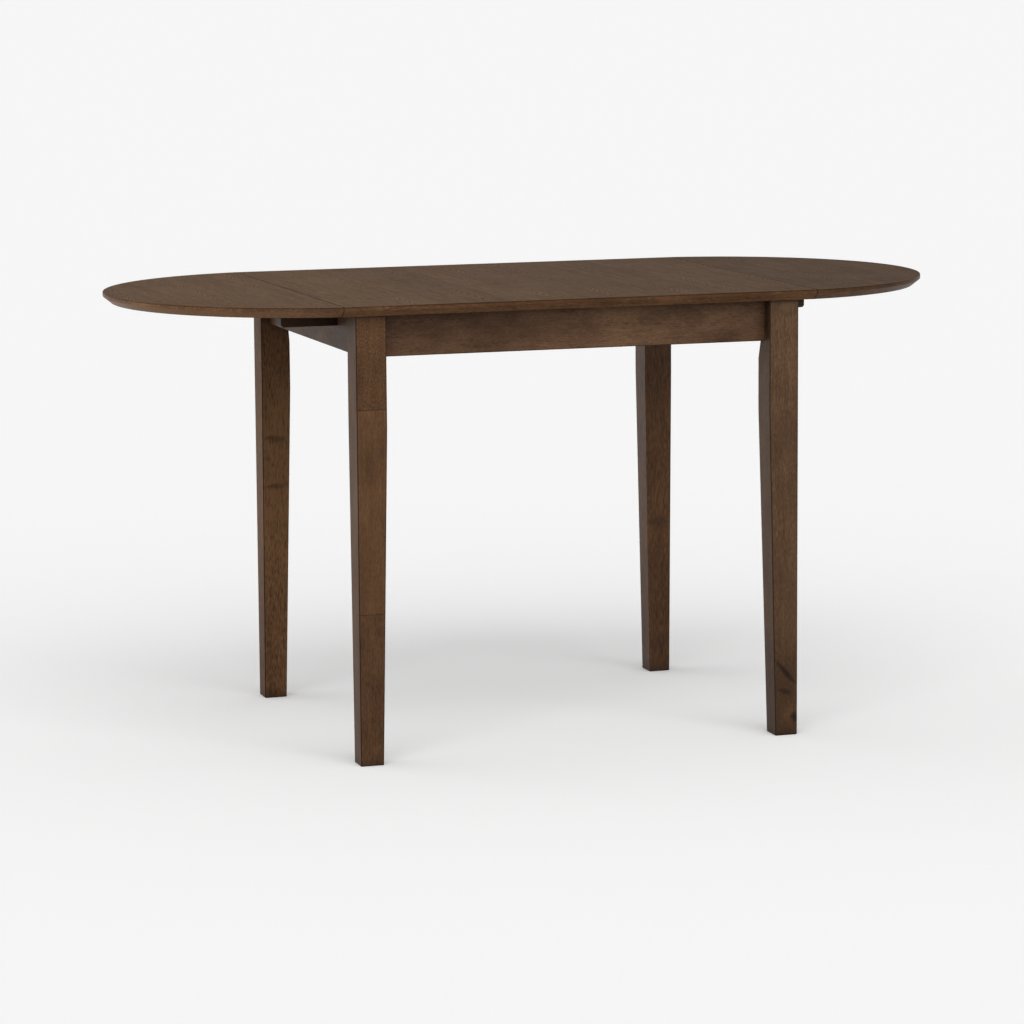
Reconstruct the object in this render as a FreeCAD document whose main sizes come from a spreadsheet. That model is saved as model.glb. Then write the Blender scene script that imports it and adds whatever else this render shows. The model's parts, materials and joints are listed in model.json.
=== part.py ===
import FreeCAD, Part
import math
import os
import re
import Sketcher
from FreeCAD import Placement, Rotation, Vector

# Driving sizes of the drop-leaf table, in millimetres. X runs from leaf to leaf, Y from the
# front to the rear apron, Z up from the floor.
SIZES = {
    # Whole table
    "table_height": 750.0,
    "table_width": 696.0,
    "hinge_line_span": 810.0,
    "leaf_depth": 306.0,
    "top_thickness": 17.0,
    "seam_gap": 1.2,
    # Edge of the boards: an upright band above an undercut bevel
    "edge_band": 6.5,
    "bevel_inset": 13.0,
    "arris_radius": 1.0,
    # Legs
    "leg_end_inset": 24.5,
    "leg_edge_inset": 21.5,
    "leg_width": 51.0,
    "foot_width": 39.0,
    "taper_drop": 113.5,
    "leg_chamfer": 14.0,
    "chamfer_drop": 31.5,
    "chamfer_rise": 12.5,
    "leg_easing": 2.0,
    # Aprons
    "apron_height": 69.5,
    "apron_thickness": 20.0,
    "long_apron_setback": 24.5,
    "end_apron_setback": 17.0,
    "apron_easing": 1.5,
    # Slide-out support bars
    "bar_apron_gap": 122.5,
    "bar_width": 34.0,
    "bar_height": 22.5,
    "bar_length": 268.0,
    "bar_reach": 54.0,
    "bar_drop": 8.5,
    "bar_bevel": 8.0,
    "bar_nose_radius": 5.0,
    "bar_easing": 1.0,
    "bar_travel": 110.0,
    "slide_clearance": 0.3,
    "stop_pin_radius": 4.0,
    "stop_pin_proud": 8.0,
    # Inner rails that guide the bars
    "rail_thickness": 18.0,
    "rail_height": 45.0,
    "dowel_radius": 4.0,
    "dowel_length": 36.0,
    "dowel_apron_depth": 12.0,
    "dowel_spacing": 24.0,
    # Tapered bearing blocks under the leaves
    "ramp_height": 12.0,
    "ramp_sole": 15.0,
    "ramp_width": 30.0,
    "ramp_screw_spacing": 16.0,
    "ramp_screw_length": 22.0,
    # Hinges
    "hinge_edge_inset": 108.0,
    "hinge_width": 60.0,
    "hinge_plate_depth": 34.0,
    "hinge_plate_thickness": 1.5,
    "knuckle_radius": 3.2,
    "knuckle_gap": 0.5,
    "middle_knuckle_length": 22.0,
    "hinge_pin_radius": 1.5,
    "hinge_screw_spacing": 20.0,
    "hinge_screw_inset": 20.0,
    "hinge_screw_length": 13.0,
    # Corner blocks and the bolts that draw the legs in
    "block_near_reach": 30.0,
    "block_far_reach": 61.0,
    "block_height": 45.0,
    "block_drop": 8.0,
    "block_screw_seat": 9.0,
    "block_screw_spacing": 24.0,
    "block_screw_length": 23.0,
    "counterbore_radius": 4.2,
    "bolt_radius": 4.0,
    "bolt_leg_depth": 32.0,
    "bolt_tail": 4.0,
    "bolt_clearance": 0.5,
    "washer_radius": 10.0,
    "washer_thickness": 1.6,
    "nut_across_flats": 13.0,
    "nut_height": 6.5,
    # Angle brackets that hold the centre top to the aprons
    "bracket_rail_gap": 63.0,
    "bracket_leg": 22.0,
    "bracket_width": 18.0,
    "bracket_thickness": 2.0,
    "bracket_screw_inset": 13.0,
    "bracket_screw_length": 13.0,
    # Countersunk wood screws
    "screw_shank_radius": 1.6,
    "screw_head_radius": 3.1,
    "screw_head_height": 1.5,
    # Fits and cuts
    "fit_clearance": 0.05,
    "cut_overrun": 5.0,
}

LEFT_RIGHT = {"left": -1, "right": 1}
FRONT_REAR = {"front": -1, "rear": 1}
UP = Vector(0, 0, 1)

doc = FreeCAD.newDocument("DropLeafTable")
sheet = doc.addObject("Spreadsheet::Sheet", "Sizes")
for row, (size_name, size) in enumerate(SIZES.items(), start=1):
    sheet.set(f"A{row}", size_name)
    sheet.set(f"B{row}", str(size))
    sheet.setAlias(f"B{row}", size_name)
doc.recompute()

nodes = []


def cell(text):
    """Expression text in which every size word points at its cell of the sheet."""
    return re.sub(r"[a-z_]+", lambda word: f"Sizes.{word[0]}" if word[0] in SIZES else word[0], text)


def measure(text):
    """Number that an expression of size words gives."""
    return float(sheet.evalExpression(cell(text)))


# Places worked out from the driving sizes
UNDERSIDE = "(table_height - top_thickness)"
APRON_BOTTOM = f"({UNDERSIDE} - apron_height)"
TAPER_TOP = f"({APRON_BOTTOM} - taper_drop)"
CHAMFER_END = f"({APRON_BOTTOM} - chamfer_drop)"
CHAMFER_FULL = f"({APRON_BOTTOM} + chamfer_rise)"
BAR_BOTTOM = f"({UNDERSIDE} - bar_drop - bar_height)"
LEAF_RUN = "(leaf_depth - seam_gap / 2)"
LEAF_RADIUS = f"((table_width * table_width / 4 + {LEAF_RUN} * {LEAF_RUN}) / (2 * {LEAF_RUN}))"
LEG_OUTER_X = "(hinge_line_span / 2 - leg_end_inset)"
LEG_OUTER_Y = "(table_width / 2 - leg_edge_inset)"
LONG_APRON_LENGTH = f"(2 * {LEG_OUTER_X} - 2 * leg_width)"
END_APRON_LENGTH = f"(2 * {LEG_OUTER_Y} - 2 * leg_width)"
LONG_APRON_INNER = f"({LEG_OUTER_Y} - long_apron_setback - apron_thickness)"
END_APRON_INNER = f"({LEG_OUTER_X} - end_apron_setback - apron_thickness)"
BAR_MIDDLE = f"({LONG_APRON_INNER} - bar_apron_gap - bar_width / 2)"
STOP_PIN_OUT = f"({END_APRON_INNER} - stop_pin_radius - slide_clearance)"
RAIL_OUTER = f"({STOP_PIN_OUT} - bar_travel - stop_pin_radius - slide_clearance)"
BRACKET_OUT = f"({RAIL_OUTER} - rail_thickness - bracket_rail_gap - bracket_width / 2)"
HINGE_LINE = "(hinge_line_span / 2)"
HINGE_AXIS_DROP = "(knuckle_radius + slide_clearance)"


def keep(item, label):
    """Names a finished sub-part and puts it on the list of pieces to write."""
    item.Label = label
    nodes.append(item)
    return item


def origin_plane(body, role):
    """Origin plane of a body, such as XY_Plane."""
    return next(plane for plane in body.Origin.OriginFeatures if plane.Role == role)


def sketch_on(body, name, role):
    """Empty sketch on one of the body's own origin planes."""
    sketch = body.newObject("Sketcher::SketchObject", name)
    sketch.AttachmentSupport = [(origin_plane(body, role), "")]
    sketch.MapMode = "FlatFace"
    return sketch


def pin_point(sketch, line, end, across, along):
    """Ties one end of a sketch line to a place given by two expressions."""
    for kind, text in (("DistanceX", across), ("DistanceY", along)):
        index = sketch.addConstraint(Sketcher.Constraint(kind, -1, 1, line, end, measure(text)))
        sketch.setExpression(f"Constraints[{index}]", cell(text))


def draw_polygon(sketch, corners):
    """Closed straight-sided outline whose corners are pairs of expressions."""
    first = sketch.GeometryCount
    points = [Vector(measure(across), measure(along), 0) for across, along in corners]
    count = len(points)
    for i in range(count):
        sketch.addGeometry(Part.LineSegment(points[i], points[(i + 1) % count]), False)
    for i in range(count):
        following = first + (i + 1) % count
        sketch.addConstraint(Sketcher.Constraint("Coincident", first + i, 2, following, 1))
    for i, (across, along) in enumerate(corners):
        pin_point(sketch, first + i, 1, across, along)


def draw_rectangle(sketch, left, bottom, right, top):
    """Upright rectangle between four expressions."""
    draw_polygon(sketch, [(left, bottom), (right, bottom), (right, top), (left, top)])


def pad(body, sketch, length, symmetric=False):
    """Pad of a sketch, to one side or half each way."""
    feature = body.newObject("PartDesign::Pad", f"{sketch.Name}_pad")
    feature.Profile = sketch
    feature.SideType = "Symmetric" if symmetric else "One side"
    feature.setExpression("Length", cell(length))
    return feature


def pocket_through(body, sketch):
    """Pocket of a sketch right through the body, both ways."""
    feature = body.newObject("PartDesign::Pocket", f"{sketch.Name}_pocket")
    feature.Profile = sketch
    feature.SideType = "Symmetric"
    feature.Type = "ThroughAll"
    return feature


def edges_where(shape, test):
    """Names of the edges of a shape that pass a test."""
    return [f"Edge{i}" for i, edge in enumerate(shape.Edges, start=1) if test(edge)]


def fillet(body, base, names, radius):
    """Fillet of named edges of the last feature."""
    feature = body.newObject("PartDesign::Fillet", f"{base.Name}_fillet")
    feature.Base = (base, names)
    feature.setExpression("Radius", cell(radius))
    return feature


def near(first, second):
    """True where two lengths are the same within a small part of the thinnest fit."""
    return abs(first - second) < measure("fit_clearance")


def side_place(side, y, height):
    """Place on a hinge line whose local +X points outwards, to the leaf."""
    base = Vector(side * measure(HINGE_LINE), y, height)
    return Placement(base, Rotation(UP, 0 if side > 0 else 180))


def corner_place(side, end, across, along, height=0.0):
    """Place on a corner of the frame whose local +X and +Y both point to the table's middle."""
    turns = {(-1, -1): 0, (1, -1): 90, (1, 1): 180, (-1, 1): 270}
    return Placement(Vector(side * across, end * along, height), Rotation(UP, turns[side, end]))


def drilled(label, blank, holes):
    """Sub-part made by taking a set of drilled holes out of a blank."""
    drills = doc.addObject("Part::Feature", f"{label}_holes")
    drills.Shape = Part.makeCompound(holes)
    cut = doc.addObject("Part::Cut", f"{label}_cut")
    cut.Base = blank
    cut.Tool = drills
    return keep(cut, label)


def group(label, shapes):
    """Sub-part that is a set of like fasteners, each a solid of its own."""
    item = doc.addObject("Part::Feature", f"{label}_group")
    item.Shape = Part.makeCompound(shapes)
    return keep(item, label)


def rod(place, start, direction, radius, length):
    """Round bar given in the local axes of a place."""
    base = place.multVec(start)
    way = place.Rotation.multVec(direction)
    return Part.makeCylinder(radius, length, base, way)


class WoodScrew:
    """Countersunk wood screw given in the local axes of a place, with the hole that takes it."""

    def __init__(self, place, start, direction, length):
        self.base = place.multVec(start)
        self.way = place.Rotation.multVec(direction)
        self.length = measure(length)

    def solid(self, grow=0.0):
        """Screw's own solid, or one that stands off it all round."""
        head_height = measure("screw_head_height")
        shank_radius = measure("screw_shank_radius") + grow
        head_radius = measure("screw_head_radius") + grow
        head = Part.makeCone(head_radius, shank_radius, head_height, self.base, self.way)
        neck = self.base + self.way * head_height
        shank = Part.makeCylinder(shank_radius, self.length - head_height + grow, neck, self.way)
        return head.fuse(shank).removeSplitter()

    def hole(self):
        """Hole with the fit clearance round the screw."""
        return self.solid(measure("fit_clearance"))

    def counterbore(self, depth):
        """Flat-bottomed bore that sinks the head below the surface."""
        return Part.makeCylinder(measure("counterbore_radius"), depth, self.base, self.way * -1)


# Brackets: each has one screw up into the top and one into the apron behind it
def bracket_places():
    """Local places of the brackets, by the apron that carries them."""
    long_inner = measure(LONG_APRON_INNER)
    end_inner = measure(END_APRON_INNER)
    height = measure(UNDERSIDE)
    places = []
    for name, end in FRONT_REAR.items():
        for step in (-1, 0, 1):
            base = Vector(step * measure(BRACKET_OUT), end * long_inner, height)
            places.append((f"{name}_apron", Placement(base, Rotation(UP, -90 * end))))
    for name, side in LEFT_RIGHT.items():
        base = Vector(side * end_inner, 0, height)
        places.append((f"{name}_end_apron", Placement(base, Rotation(UP, 0 if side < 0 else 180))))
    return places


bracket_top_screws = []
bracket_apron_screws = {}
for apron_name, place in bracket_places():
    inset = measure("bracket_screw_inset")
    thickness = measure("bracket_thickness")
    upward = WoodScrew(place, Vector(inset, 0, -thickness), UP, "bracket_screw_length")
    sideways = WoodScrew(place, Vector(thickness, 0, -inset), Vector(-1, 0, 0), "bracket_screw_length")
    bracket_top_screws.append(upward)
    bracket_apron_screws.setdefault(apron_name, []).append(sideways)

# Hinges: three on each seam, with the plates' screws
HINGE_STEPS = {"front": -1, "middle": 0, "rear": 1}


def hinge_place(side, step):
    """Local place of a hinge: its axis lies under the origin, +X points to the leaf."""
    return side_place(side, step * measure("table_width / 2 - hinge_edge_inset"), measure(UNDERSIDE))


def plate_screws(place):
    """Screws of one hinge plate that lies along local +X under a board."""
    inset = measure("hinge_screw_inset")
    plate = measure("hinge_plate_thickness")
    spacing = measure("hinge_screw_spacing")
    return [WoodScrew(place, Vector(inset, step * spacing, -plate), UP, "hinge_screw_length")
            for step in (-1, 0, 1)]


def turned(place):
    """Same place looking the other way about the vertical."""
    return place * Placement(Vector(), Rotation(UP, 180))


fixed_plate_screws = {}
moving_plate_screws = {}
for side_name, side in LEFT_RIGHT.items():
    for step_name, step in HINGE_STEPS.items():
        place = hinge_place(side, step)
        fixed_plate_screws[side_name, step_name] = plate_screws(turned(place))
        moving_plate_screws[side_name, step_name] = plate_screws(place)

# Bearing blocks: a ramp parallel to the bevelled tip of each bar, with its screws
RAMP_START = "(bar_reach - bar_bevel - bar_drop + slide_clearance * sqrt(2))"


def bar_place(side, end, height):
    """Local place on a bar's centre line, at the hinge line, +X outwards."""
    return side_place(side, end * measure(BAR_MIDDLE), height)


def ramp_screws(side, end):
    """Two screws up through the sole of a bearing block."""
    place = bar_place(side, end, measure(UNDERSIDE))
    out = measure(f"{RAMP_START} + ramp_height + ramp_sole / 2")
    half = measure("ramp_screw_spacing / 2")
    return [WoodScrew(place, Vector(out, step * half, -measure("ramp_height")), UP, "ramp_screw_length")
            for step in (-1, 1)]


# Corner blocks: screws into both aprons, and a bolt into the leg
def block_place(side, end):
    """Corner where the inner faces of two aprons would meet, +X and +Y to the middle."""
    height = measure(f"{UNDERSIDE} - block_drop - block_height")
    return corner_place(side, end, measure(END_APRON_INNER), measure(LONG_APRON_INNER), height)


def block_screws(side, end):
    """Screws of one corner block: those into the local X wall, then those into the Y wall."""
    place = block_place(side, end)
    seat = measure("block_screw_seat")
    middle = measure("(block_near_reach + block_far_reach) / 2")
    heights = [measure("block_height / 2") + step * measure("block_screw_spacing") / 2 for step in (-1, 1)]
    first = [WoodScrew(place, Vector(seat, middle, height), Vector(-1, 0, 0), "block_screw_length")
             for height in heights]
    second = [WoodScrew(place, Vector(middle, seat, height), Vector(0, -1, 0), "block_screw_length")
              for height in heights]
    return first, second


def apron_of_wall(side, end, wall):
    """Name of the apron that a corner block's local X or Y wall is."""
    side_name = "left" if side < 0 else "right"
    end_name = "front" if end < 0 else "rear"
    crosswise = corner_place(side, end, 0, 0).Rotation.multVec(Vector(1, 0, 0))
    x_wall_is_end = abs(crosswise.x) > abs(crosswise.y)
    is_end = x_wall_is_end if wall == 0 else not x_wall_is_end
    return f"{side_name}_end_apron" if is_end else f"{end_name}_apron"


all_block_screws = {}
apron_block_screws = {}
for side in LEFT_RIGHT.values():
    for end in FRONT_REAR.values():
        walls = block_screws(side, end)
        all_block_screws[side, end] = walls[0] + walls[1]
        for wall, screws in enumerate(walls):
            apron_block_screws.setdefault(apron_of_wall(side, end, wall), []).extend(screws)

# Distance from a leg's inner corner, inwards along the diagonal, to the faces that its bolt passes
LEG_CORNER_SUM = f"({END_APRON_INNER} - {LEG_OUTER_X} + {LONG_APRON_INNER} - {LEG_OUTER_Y} + 2 * leg_width)"
BLOCK_FAR_FACE = f"((block_far_reach - {LEG_CORNER_SUM}) / sqrt(2))"
BOLT_START = "(0 - leg_chamfer / sqrt(2) - bolt_leg_depth)"


def bolt_place(side, end):
    """Inner corner of a leg at bolt height: local +X runs inwards along the diagonal."""
    across = measure(f"{LEG_OUTER_X} - leg_width")
    along = measure(f"{LEG_OUTER_Y} - leg_width")
    height = measure(f"{UNDERSIDE} - block_drop - block_height / 2")
    corner = corner_place(side, end, across, along, height)
    return corner * Placement(Vector(), Rotation(UP, 45))


def bolt_rod(side, end, start, stop, radius):
    """Round bar on a leg bolt's axis between two expressions."""
    low = measure(start)
    return rod(bolt_place(side, end), Vector(low, 0, 0), Vector(1, 0, 0), radius, measure(stop) - low)


# Dowels at the ends of the guide rails
def dowel_rods(side, end, grow=0.0):
    """Two dowels between a guide rail and a long apron, or the holes that take them."""
    x = side * measure(f"{RAIL_OUTER} - rail_thickness / 2")
    y = end * measure(f"{LONG_APRON_INNER} + dowel_apron_depth")
    middle = measure(f"{UNDERSIDE} - rail_height / 2")
    heights = [middle + step * measure("dowel_spacing") / 2 for step in (-1, 1)]
    radius = measure("dowel_radius") + grow
    ends = Vector(0, end * grow, 0)
    length = measure("dowel_length") + 2 * grow
    way = Vector(0, -end, 0)
    return [Part.makeCylinder(radius, length, Vector(x, y, height) + ends, way) for height in heights]


# Legs: square at the top, tapered on the two inner faces, chamfered on the inner corner
def make_leg(side_name, side, end_name, end):
    """Leg with its outer corner on the local origin."""
    label = f"{end_name}_{side_name}_leg"
    body = doc.addObject("PartDesign::Body", f"{label}_blank")
    square = sketch_on(body, f"{label}_square", "XY_Plane")
    draw_rectangle(square, "0", "0", "leg_width", "leg_width")
    pad(body, square, UNDERSIDE)
    for role in ("XZ_Plane", "YZ_Plane"):
        wedge = sketch_on(body, f"{label}_taper_{role[:2].lower()}", role)
        outside = "leg_width + cut_overrun"
        draw_polygon(wedge, [("foot_width", "0"), (outside, "0"),
                             (outside, TAPER_TOP), ("leg_width", TAPER_TOP)])
        pocket_through(body, wedge)
    stop = sketch_on(body, f"{label}_stopped_chamfer", "XZ_Plane")
    stop.AttachmentOffset = Placement(Vector(), Rotation(Vector(0, 1, 0), 45))
    stop.setExpression("AttachmentOffset.Base.x", cell("leg_width"))
    stop.setExpression("AttachmentOffset.Base.z", cell("0 - leg_width"))
    depth = "0 - leg_chamfer / sqrt(2)"
    draw_polygon(stop, [("0", CHAMFER_END), ("cut_overrun", CHAMFER_END),
                        ("cut_overrun", UNDERSIDE), (depth, UNDERSIDE), (depth, CHAMFER_FULL)])
    chamfer = pocket_through(body, stop)
    doc.recompute()

    def eased(edge):
        """Long edges on the outer faces, and the foot's edges."""
        points = [vertex.Point for vertex in edge.Vertexes]
        on_outer = all(near(p.x, 0) for p in points) or all(near(p.y, 0) for p in points)
        upright = abs(points[0].z - points[-1].z) > measure("leg_width")
        at_foot = all(near(p.z, 0) for p in points)
        return (on_outer and upright) or at_foot

    fillet(body, chamfer, edges_where(chamfer.Shape, eased), "leg_easing")
    body.Placement = corner_place(side, end, measure(LEG_OUTER_X), measure(LEG_OUTER_Y))
    radius = measure("bolt_radius + fit_clearance")
    hole = bolt_rod(side, end, f"{BOLT_START} - fit_clearance", "cut_overrun", radius)
    return drilled(label, body, [hole])


# Aprons: boards between the legs, eased along their lower edges
def make_long_apron(end_name, end):
    """Front or rear apron."""
    label = f"{end_name}_apron"
    body = doc.addObject("PartDesign::Body", f"{label}_blank")
    section = sketch_on(body, f"{label}_section", "YZ_Plane")
    draw_rectangle(section, "0", "0", "apron_thickness", "apron_height")
    board = pad(body, section, LONG_APRON_LENGTH, symmetric=True)
    doc.recompute()
    ease_lower_edges(body, board, lambda p: (p.x, p.z))
    turn = 0 if end > 0 else 180
    base = Vector(0, end * measure(LONG_APRON_INNER), measure(APRON_BOTTOM))
    body.Placement = Placement(base, Rotation(UP, turn))
    holes = [screw.hole() for screw in apron_block_screws[label] + bracket_apron_screws[label]]
    for side in LEFT_RIGHT.values():
        holes += dowel_rods(side, end, measure("fit_clearance"))
    return drilled(label, body, holes)


def ease_lower_edges(body, board, length_and_height):
    """Small fillet along the two lower long edges of an apron."""
    def lower(edge):
        ends = [length_and_height(vertex.Point) for vertex in edge.Vertexes]
        runs_along = abs(ends[0][0] - ends[-1][0]) > measure("apron_height")
        return runs_along and all(near(height, 0) for _, height in ends)

    return fillet(body, board, edges_where(board.Shape, lower), "apron_easing")


def bar_mortises(sketch, bottom):
    """Two openings for the bars, with sliding clearance all round, in a board with its foot at bottom."""
    low = f"{BAR_BOTTOM} - {bottom} - slide_clearance"
    high = f"{BAR_BOTTOM} - {bottom} + bar_height + slide_clearance"
    for step in (-1, 1):
        middle = f"{step} * {BAR_MIDDLE}"
        half = "bar_width / 2 + slide_clearance"
        draw_rectangle(sketch, f"{middle} - ({half})", low, f"{middle} + {half}", high)


def make_end_apron(side_name, side):
    """Left or right apron, with two closed mortises for the bars."""
    label = f"{side_name}_end_apron"
    body = doc.addObject("PartDesign::Body", f"{label}_blank")
    section = sketch_on(body, f"{label}_section", "XZ_Plane")
    draw_rectangle(section, "0", "0", "apron_thickness", "apron_height")
    board = pad(body, section, END_APRON_LENGTH, symmetric=True)
    doc.recompute()
    ease_lower_edges(body, board, lambda p: (p.y, p.z))
    mortises = sketch_on(body, f"{label}_mortises", "YZ_Plane")
    bar_mortises(mortises, APRON_BOTTOM)
    pocket_through(body, mortises)
    base = Vector(side * measure(END_APRON_INNER), 0, measure(APRON_BOTTOM))
    body.Placement = Placement(base, Rotation(UP, 0 if side > 0 else 180))
    holes = [screw.hole() for screw in apron_block_screws[label] + bracket_apron_screws[label]]
    return drilled(label, body, holes)


def make_guide_rail(side_name, side):
    """Rail between the long aprons that carries the inner ends of two bars."""
    label = f"{side_name}_guide_rail"
    bottom = f"({UNDERSIDE} - rail_height)"
    body = doc.addObject("PartDesign::Body", f"{label}_blank")
    face = sketch_on(body, f"{label}_face", "YZ_Plane")
    draw_rectangle(face, f"0 - {LONG_APRON_INNER}", "0", LONG_APRON_INNER, "rail_height")
    bar_mortises(face, bottom)
    pad(body, face, "rail_thickness", symmetric=True)
    base = Vector(side * measure(f"{RAIL_OUTER} - rail_thickness / 2"), 0, measure(bottom))
    body.Placement = Placement(base, Rotation(UP, 0 if side > 0 else 180))
    holes = []
    for end in FRONT_REAR.values():
        holes += dowel_rods(side, end, measure("fit_clearance"))
    return drilled(label, body, holes)


def make_corner_block(side_name, side, end_name, end):
    """Diagonal block with ends mitred to seat on two aprons."""
    label = f"{end_name}_{side_name}_corner_block"
    body = doc.addObject("PartDesign::Body", f"{label}_blank")
    plan = sketch_on(body, f"{label}_plan", "XY_Plane")
    draw_polygon(plan, [("block_near_reach", "0"), ("block_far_reach", "0"),
                        ("0", "block_far_reach"), ("0", "block_near_reach")])
    pad(body, plan, "block_height")
    body.Placement = block_place(side, end)
    holes = [screw.hole() for screw in all_block_screws[side, end]]
    holes += [screw.counterbore(measure("block_far_reach")) for screw in all_block_screws[side, end]]
    holes.append(bolt_rod(side, end, "0", "block_far_reach", measure("bolt_radius + bolt_clearance")))
    return drilled(label, body, holes)


def bevel_and_ease(body, board, lower, upper):
    """Undercut bevel along the lower edges of a board and a small round on its upper arris."""
    bevel = body.newObject("PartDesign::Chamfer", f"{board.Name}_bevel")
    bevel.Base = (board, edges_where(board.Shape, lower))
    bevel.ChamferType = "Two distances"
    bevel.FlipDirection = True
    bevel.setExpression("Size", cell("bevel_inset"))
    bevel.setExpression("Size2", cell("top_thickness - edge_band"))
    doc.recompute()
    return fillet(body, bevel, edges_where(bevel.Shape, upper), "arris_radius")


def make_centre_top():
    """Fixed board between the two seams, bevelled along its front and rear edges."""
    body = doc.addObject("PartDesign::Body", "centre_top_blank")
    plan = sketch_on(body, "centre_top_plan", "XY_Plane")
    half_length = "(hinge_line_span / 2 - seam_gap / 2)"
    draw_rectangle(plan, f"0 - {half_length}", "0 - table_width / 2", half_length, "table_width / 2")
    board = pad(body, plan, "top_thickness")
    doc.recompute()

    def long_edge(edge, height):
        points = [vertex.Point for vertex in edge.Vertexes]
        level = all(near(p.z, height) for p in points)
        return level and near(points[0].y, points[-1].y)

    thickness = measure("top_thickness")
    bevel_and_ease(body, board, lambda edge: long_edge(edge, 0), lambda edge: long_edge(edge, thickness))
    body.Placement = Placement(Vector(0, 0, measure(UNDERSIDE)), Rotation())
    screws = list(bracket_top_screws)
    for plate in fixed_plate_screws.values():
        screws += plate
    return drilled("centre_top", body, [screw.hole() for screw in screws])


def make_leaf(side_name, side):
    """Drop leaf: a board whose outer edge is one circular arc from seam end to seam end."""
    label = f"{side_name}_leaf"
    body = doc.addObject("PartDesign::Body", f"{label}_blank")
    plan = sketch_on(body, f"{label}_plan", "XY_Plane")
    seam_x = measure("seam_gap / 2")
    half = measure("table_width / 2")
    radius = measure(LEAF_RADIUS)
    centre = Vector(measure("leaf_depth") - radius, 0, 0)
    sweep = math.atan2(half, seam_x - centre.x)
    plan.addGeometry(Part.LineSegment(Vector(seam_x, half, 0), Vector(seam_x, -half, 0)), False)
    plan.addGeometry(Part.ArcOfCircle(Part.Circle(centre, UP, radius), -sweep, sweep), False)
    plan.addConstraint(Sketcher.Constraint("Coincident", 0, 2, 1, 1))
    plan.addConstraint(Sketcher.Constraint("Coincident", 1, 2, 0, 1))
    pin_point(plan, 0, 1, "seam_gap / 2", "table_width / 2")
    pin_point(plan, 0, 2, "seam_gap / 2", "0 - table_width / 2")
    index = plan.addConstraint(Sketcher.Constraint("Radius", 1, radius))
    plan.setExpression(f"Constraints[{index}]", cell(LEAF_RADIUS))
    board = pad(body, plan, "top_thickness")
    doc.recompute()

    def arc_edge(edge, height):
        level = all(near(vertex.Point.z, height) for vertex in edge.Vertexes)
        return level and isinstance(edge.Curve, Part.Circle)

    thickness = measure("top_thickness")
    bevel_and_ease(body, board, lambda edge: arc_edge(edge, 0), lambda edge: arc_edge(edge, thickness))
    body.Placement = side_place(side, 0, measure(UNDERSIDE))
    screws = ramp_screws(side, -1) + ramp_screws(side, 1)
    for step_name in HINGE_STEPS:
        screws += moving_plate_screws[side_name, step_name]
    return drilled(label, body, [screw.hole() for screw in screws])


# Support bars: eased along their edges, with a bevelled upper tip and a rounded lower one
def make_bar(side_name, side, end_name, end):
    """Slide-out bar at its open place, and the pin that stops it both ways."""
    label = f"{end_name}_{side_name}_support_bar"
    body = doc.addObject("PartDesign::Body", f"{label}_body")
    profile = sketch_on(body, f"{label}_profile", "XZ_Plane")
    inner = "bar_reach - bar_length"
    draw_polygon(profile, [(inner, "0"), ("bar_reach", "0"), ("bar_reach", "bar_height - bar_bevel"),
                           ("bar_reach - bar_bevel", "bar_height"), (inner, "bar_height")])
    bar = pad(body, profile, "bar_width", symmetric=True)
    doc.recompute()
    reach = measure("bar_reach")

    def nose(edge):
        return all(near(vertex.Point.x, reach) and near(vertex.Point.z, 0) for vertex in edge.Vertexes)

    def lengthwise(edge):
        points = [vertex.Point for vertex in edge.Vertexes]
        return abs(points[0].x - points[-1].x) > measure("bar_width")

    rounded = fillet(body, bar, edges_where(bar.Shape, nose), "bar_nose_radius")
    doc.recompute()
    fillet(body, rounded, edges_where(rounded.Shape, lengthwise), "bar_easing")
    hole = sketch_on(body, f"{label}_pin_hole", "XY_Plane")
    pin_out = f"({STOP_PIN_OUT} - {HINGE_LINE})"
    hole.addGeometry(Part.Circle(Vector(measure(pin_out), 0, 0), UP, measure("stop_pin_radius")), False)
    pin_point(hole, 0, 3, pin_out, "0")
    index = hole.addConstraint(Sketcher.Constraint("Radius", 0, measure("stop_pin_radius + fit_clearance")))
    hole.setExpression(f"Constraints[{index}]", cell("stop_pin_radius + fit_clearance"))
    pocket_through(body, hole)
    place = bar_place(side, end, measure(BAR_BOTTOM))
    body.Placement = place
    keep(body, label)
    pin = doc.addObject("Part::Cylinder", f"{label}_pin")
    pin.setExpression("Radius", cell("stop_pin_radius"))
    pin.setExpression("Height", cell("bar_height + stop_pin_proud"))
    pin.Placement = place * Placement(Vector(measure(pin_out), 0, -measure("stop_pin_proud")), Rotation())
    keep(pin, f"{end_name}_{side_name}_stop_pin")


def make_bearing_block(side_name, side, end_name, end):
    """Tapered block under a leaf whose ramp lies on the bevelled tip of a bar."""
    label = f"{end_name}_{side_name}_bearing_block"
    body = doc.addObject("PartDesign::Body", f"{label}_blank")
    profile = sketch_on(body, f"{label}_profile", "XZ_Plane")
    draw_polygon(profile, [(RAMP_START, "0"), (f"{RAMP_START} + ramp_height", "0 - ramp_height"),
                           (f"{RAMP_START} + ramp_height + ramp_sole", "0 - ramp_height"),
                           (f"{RAMP_START} + ramp_height + ramp_sole", "0")])
    pad(body, profile, "ramp_width", symmetric=True)
    body.Placement = bar_place(side, end, measure(UNDERSIDE))
    return drilled(label, body, [screw.hole() for screw in ramp_screws(side, end)])


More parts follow.
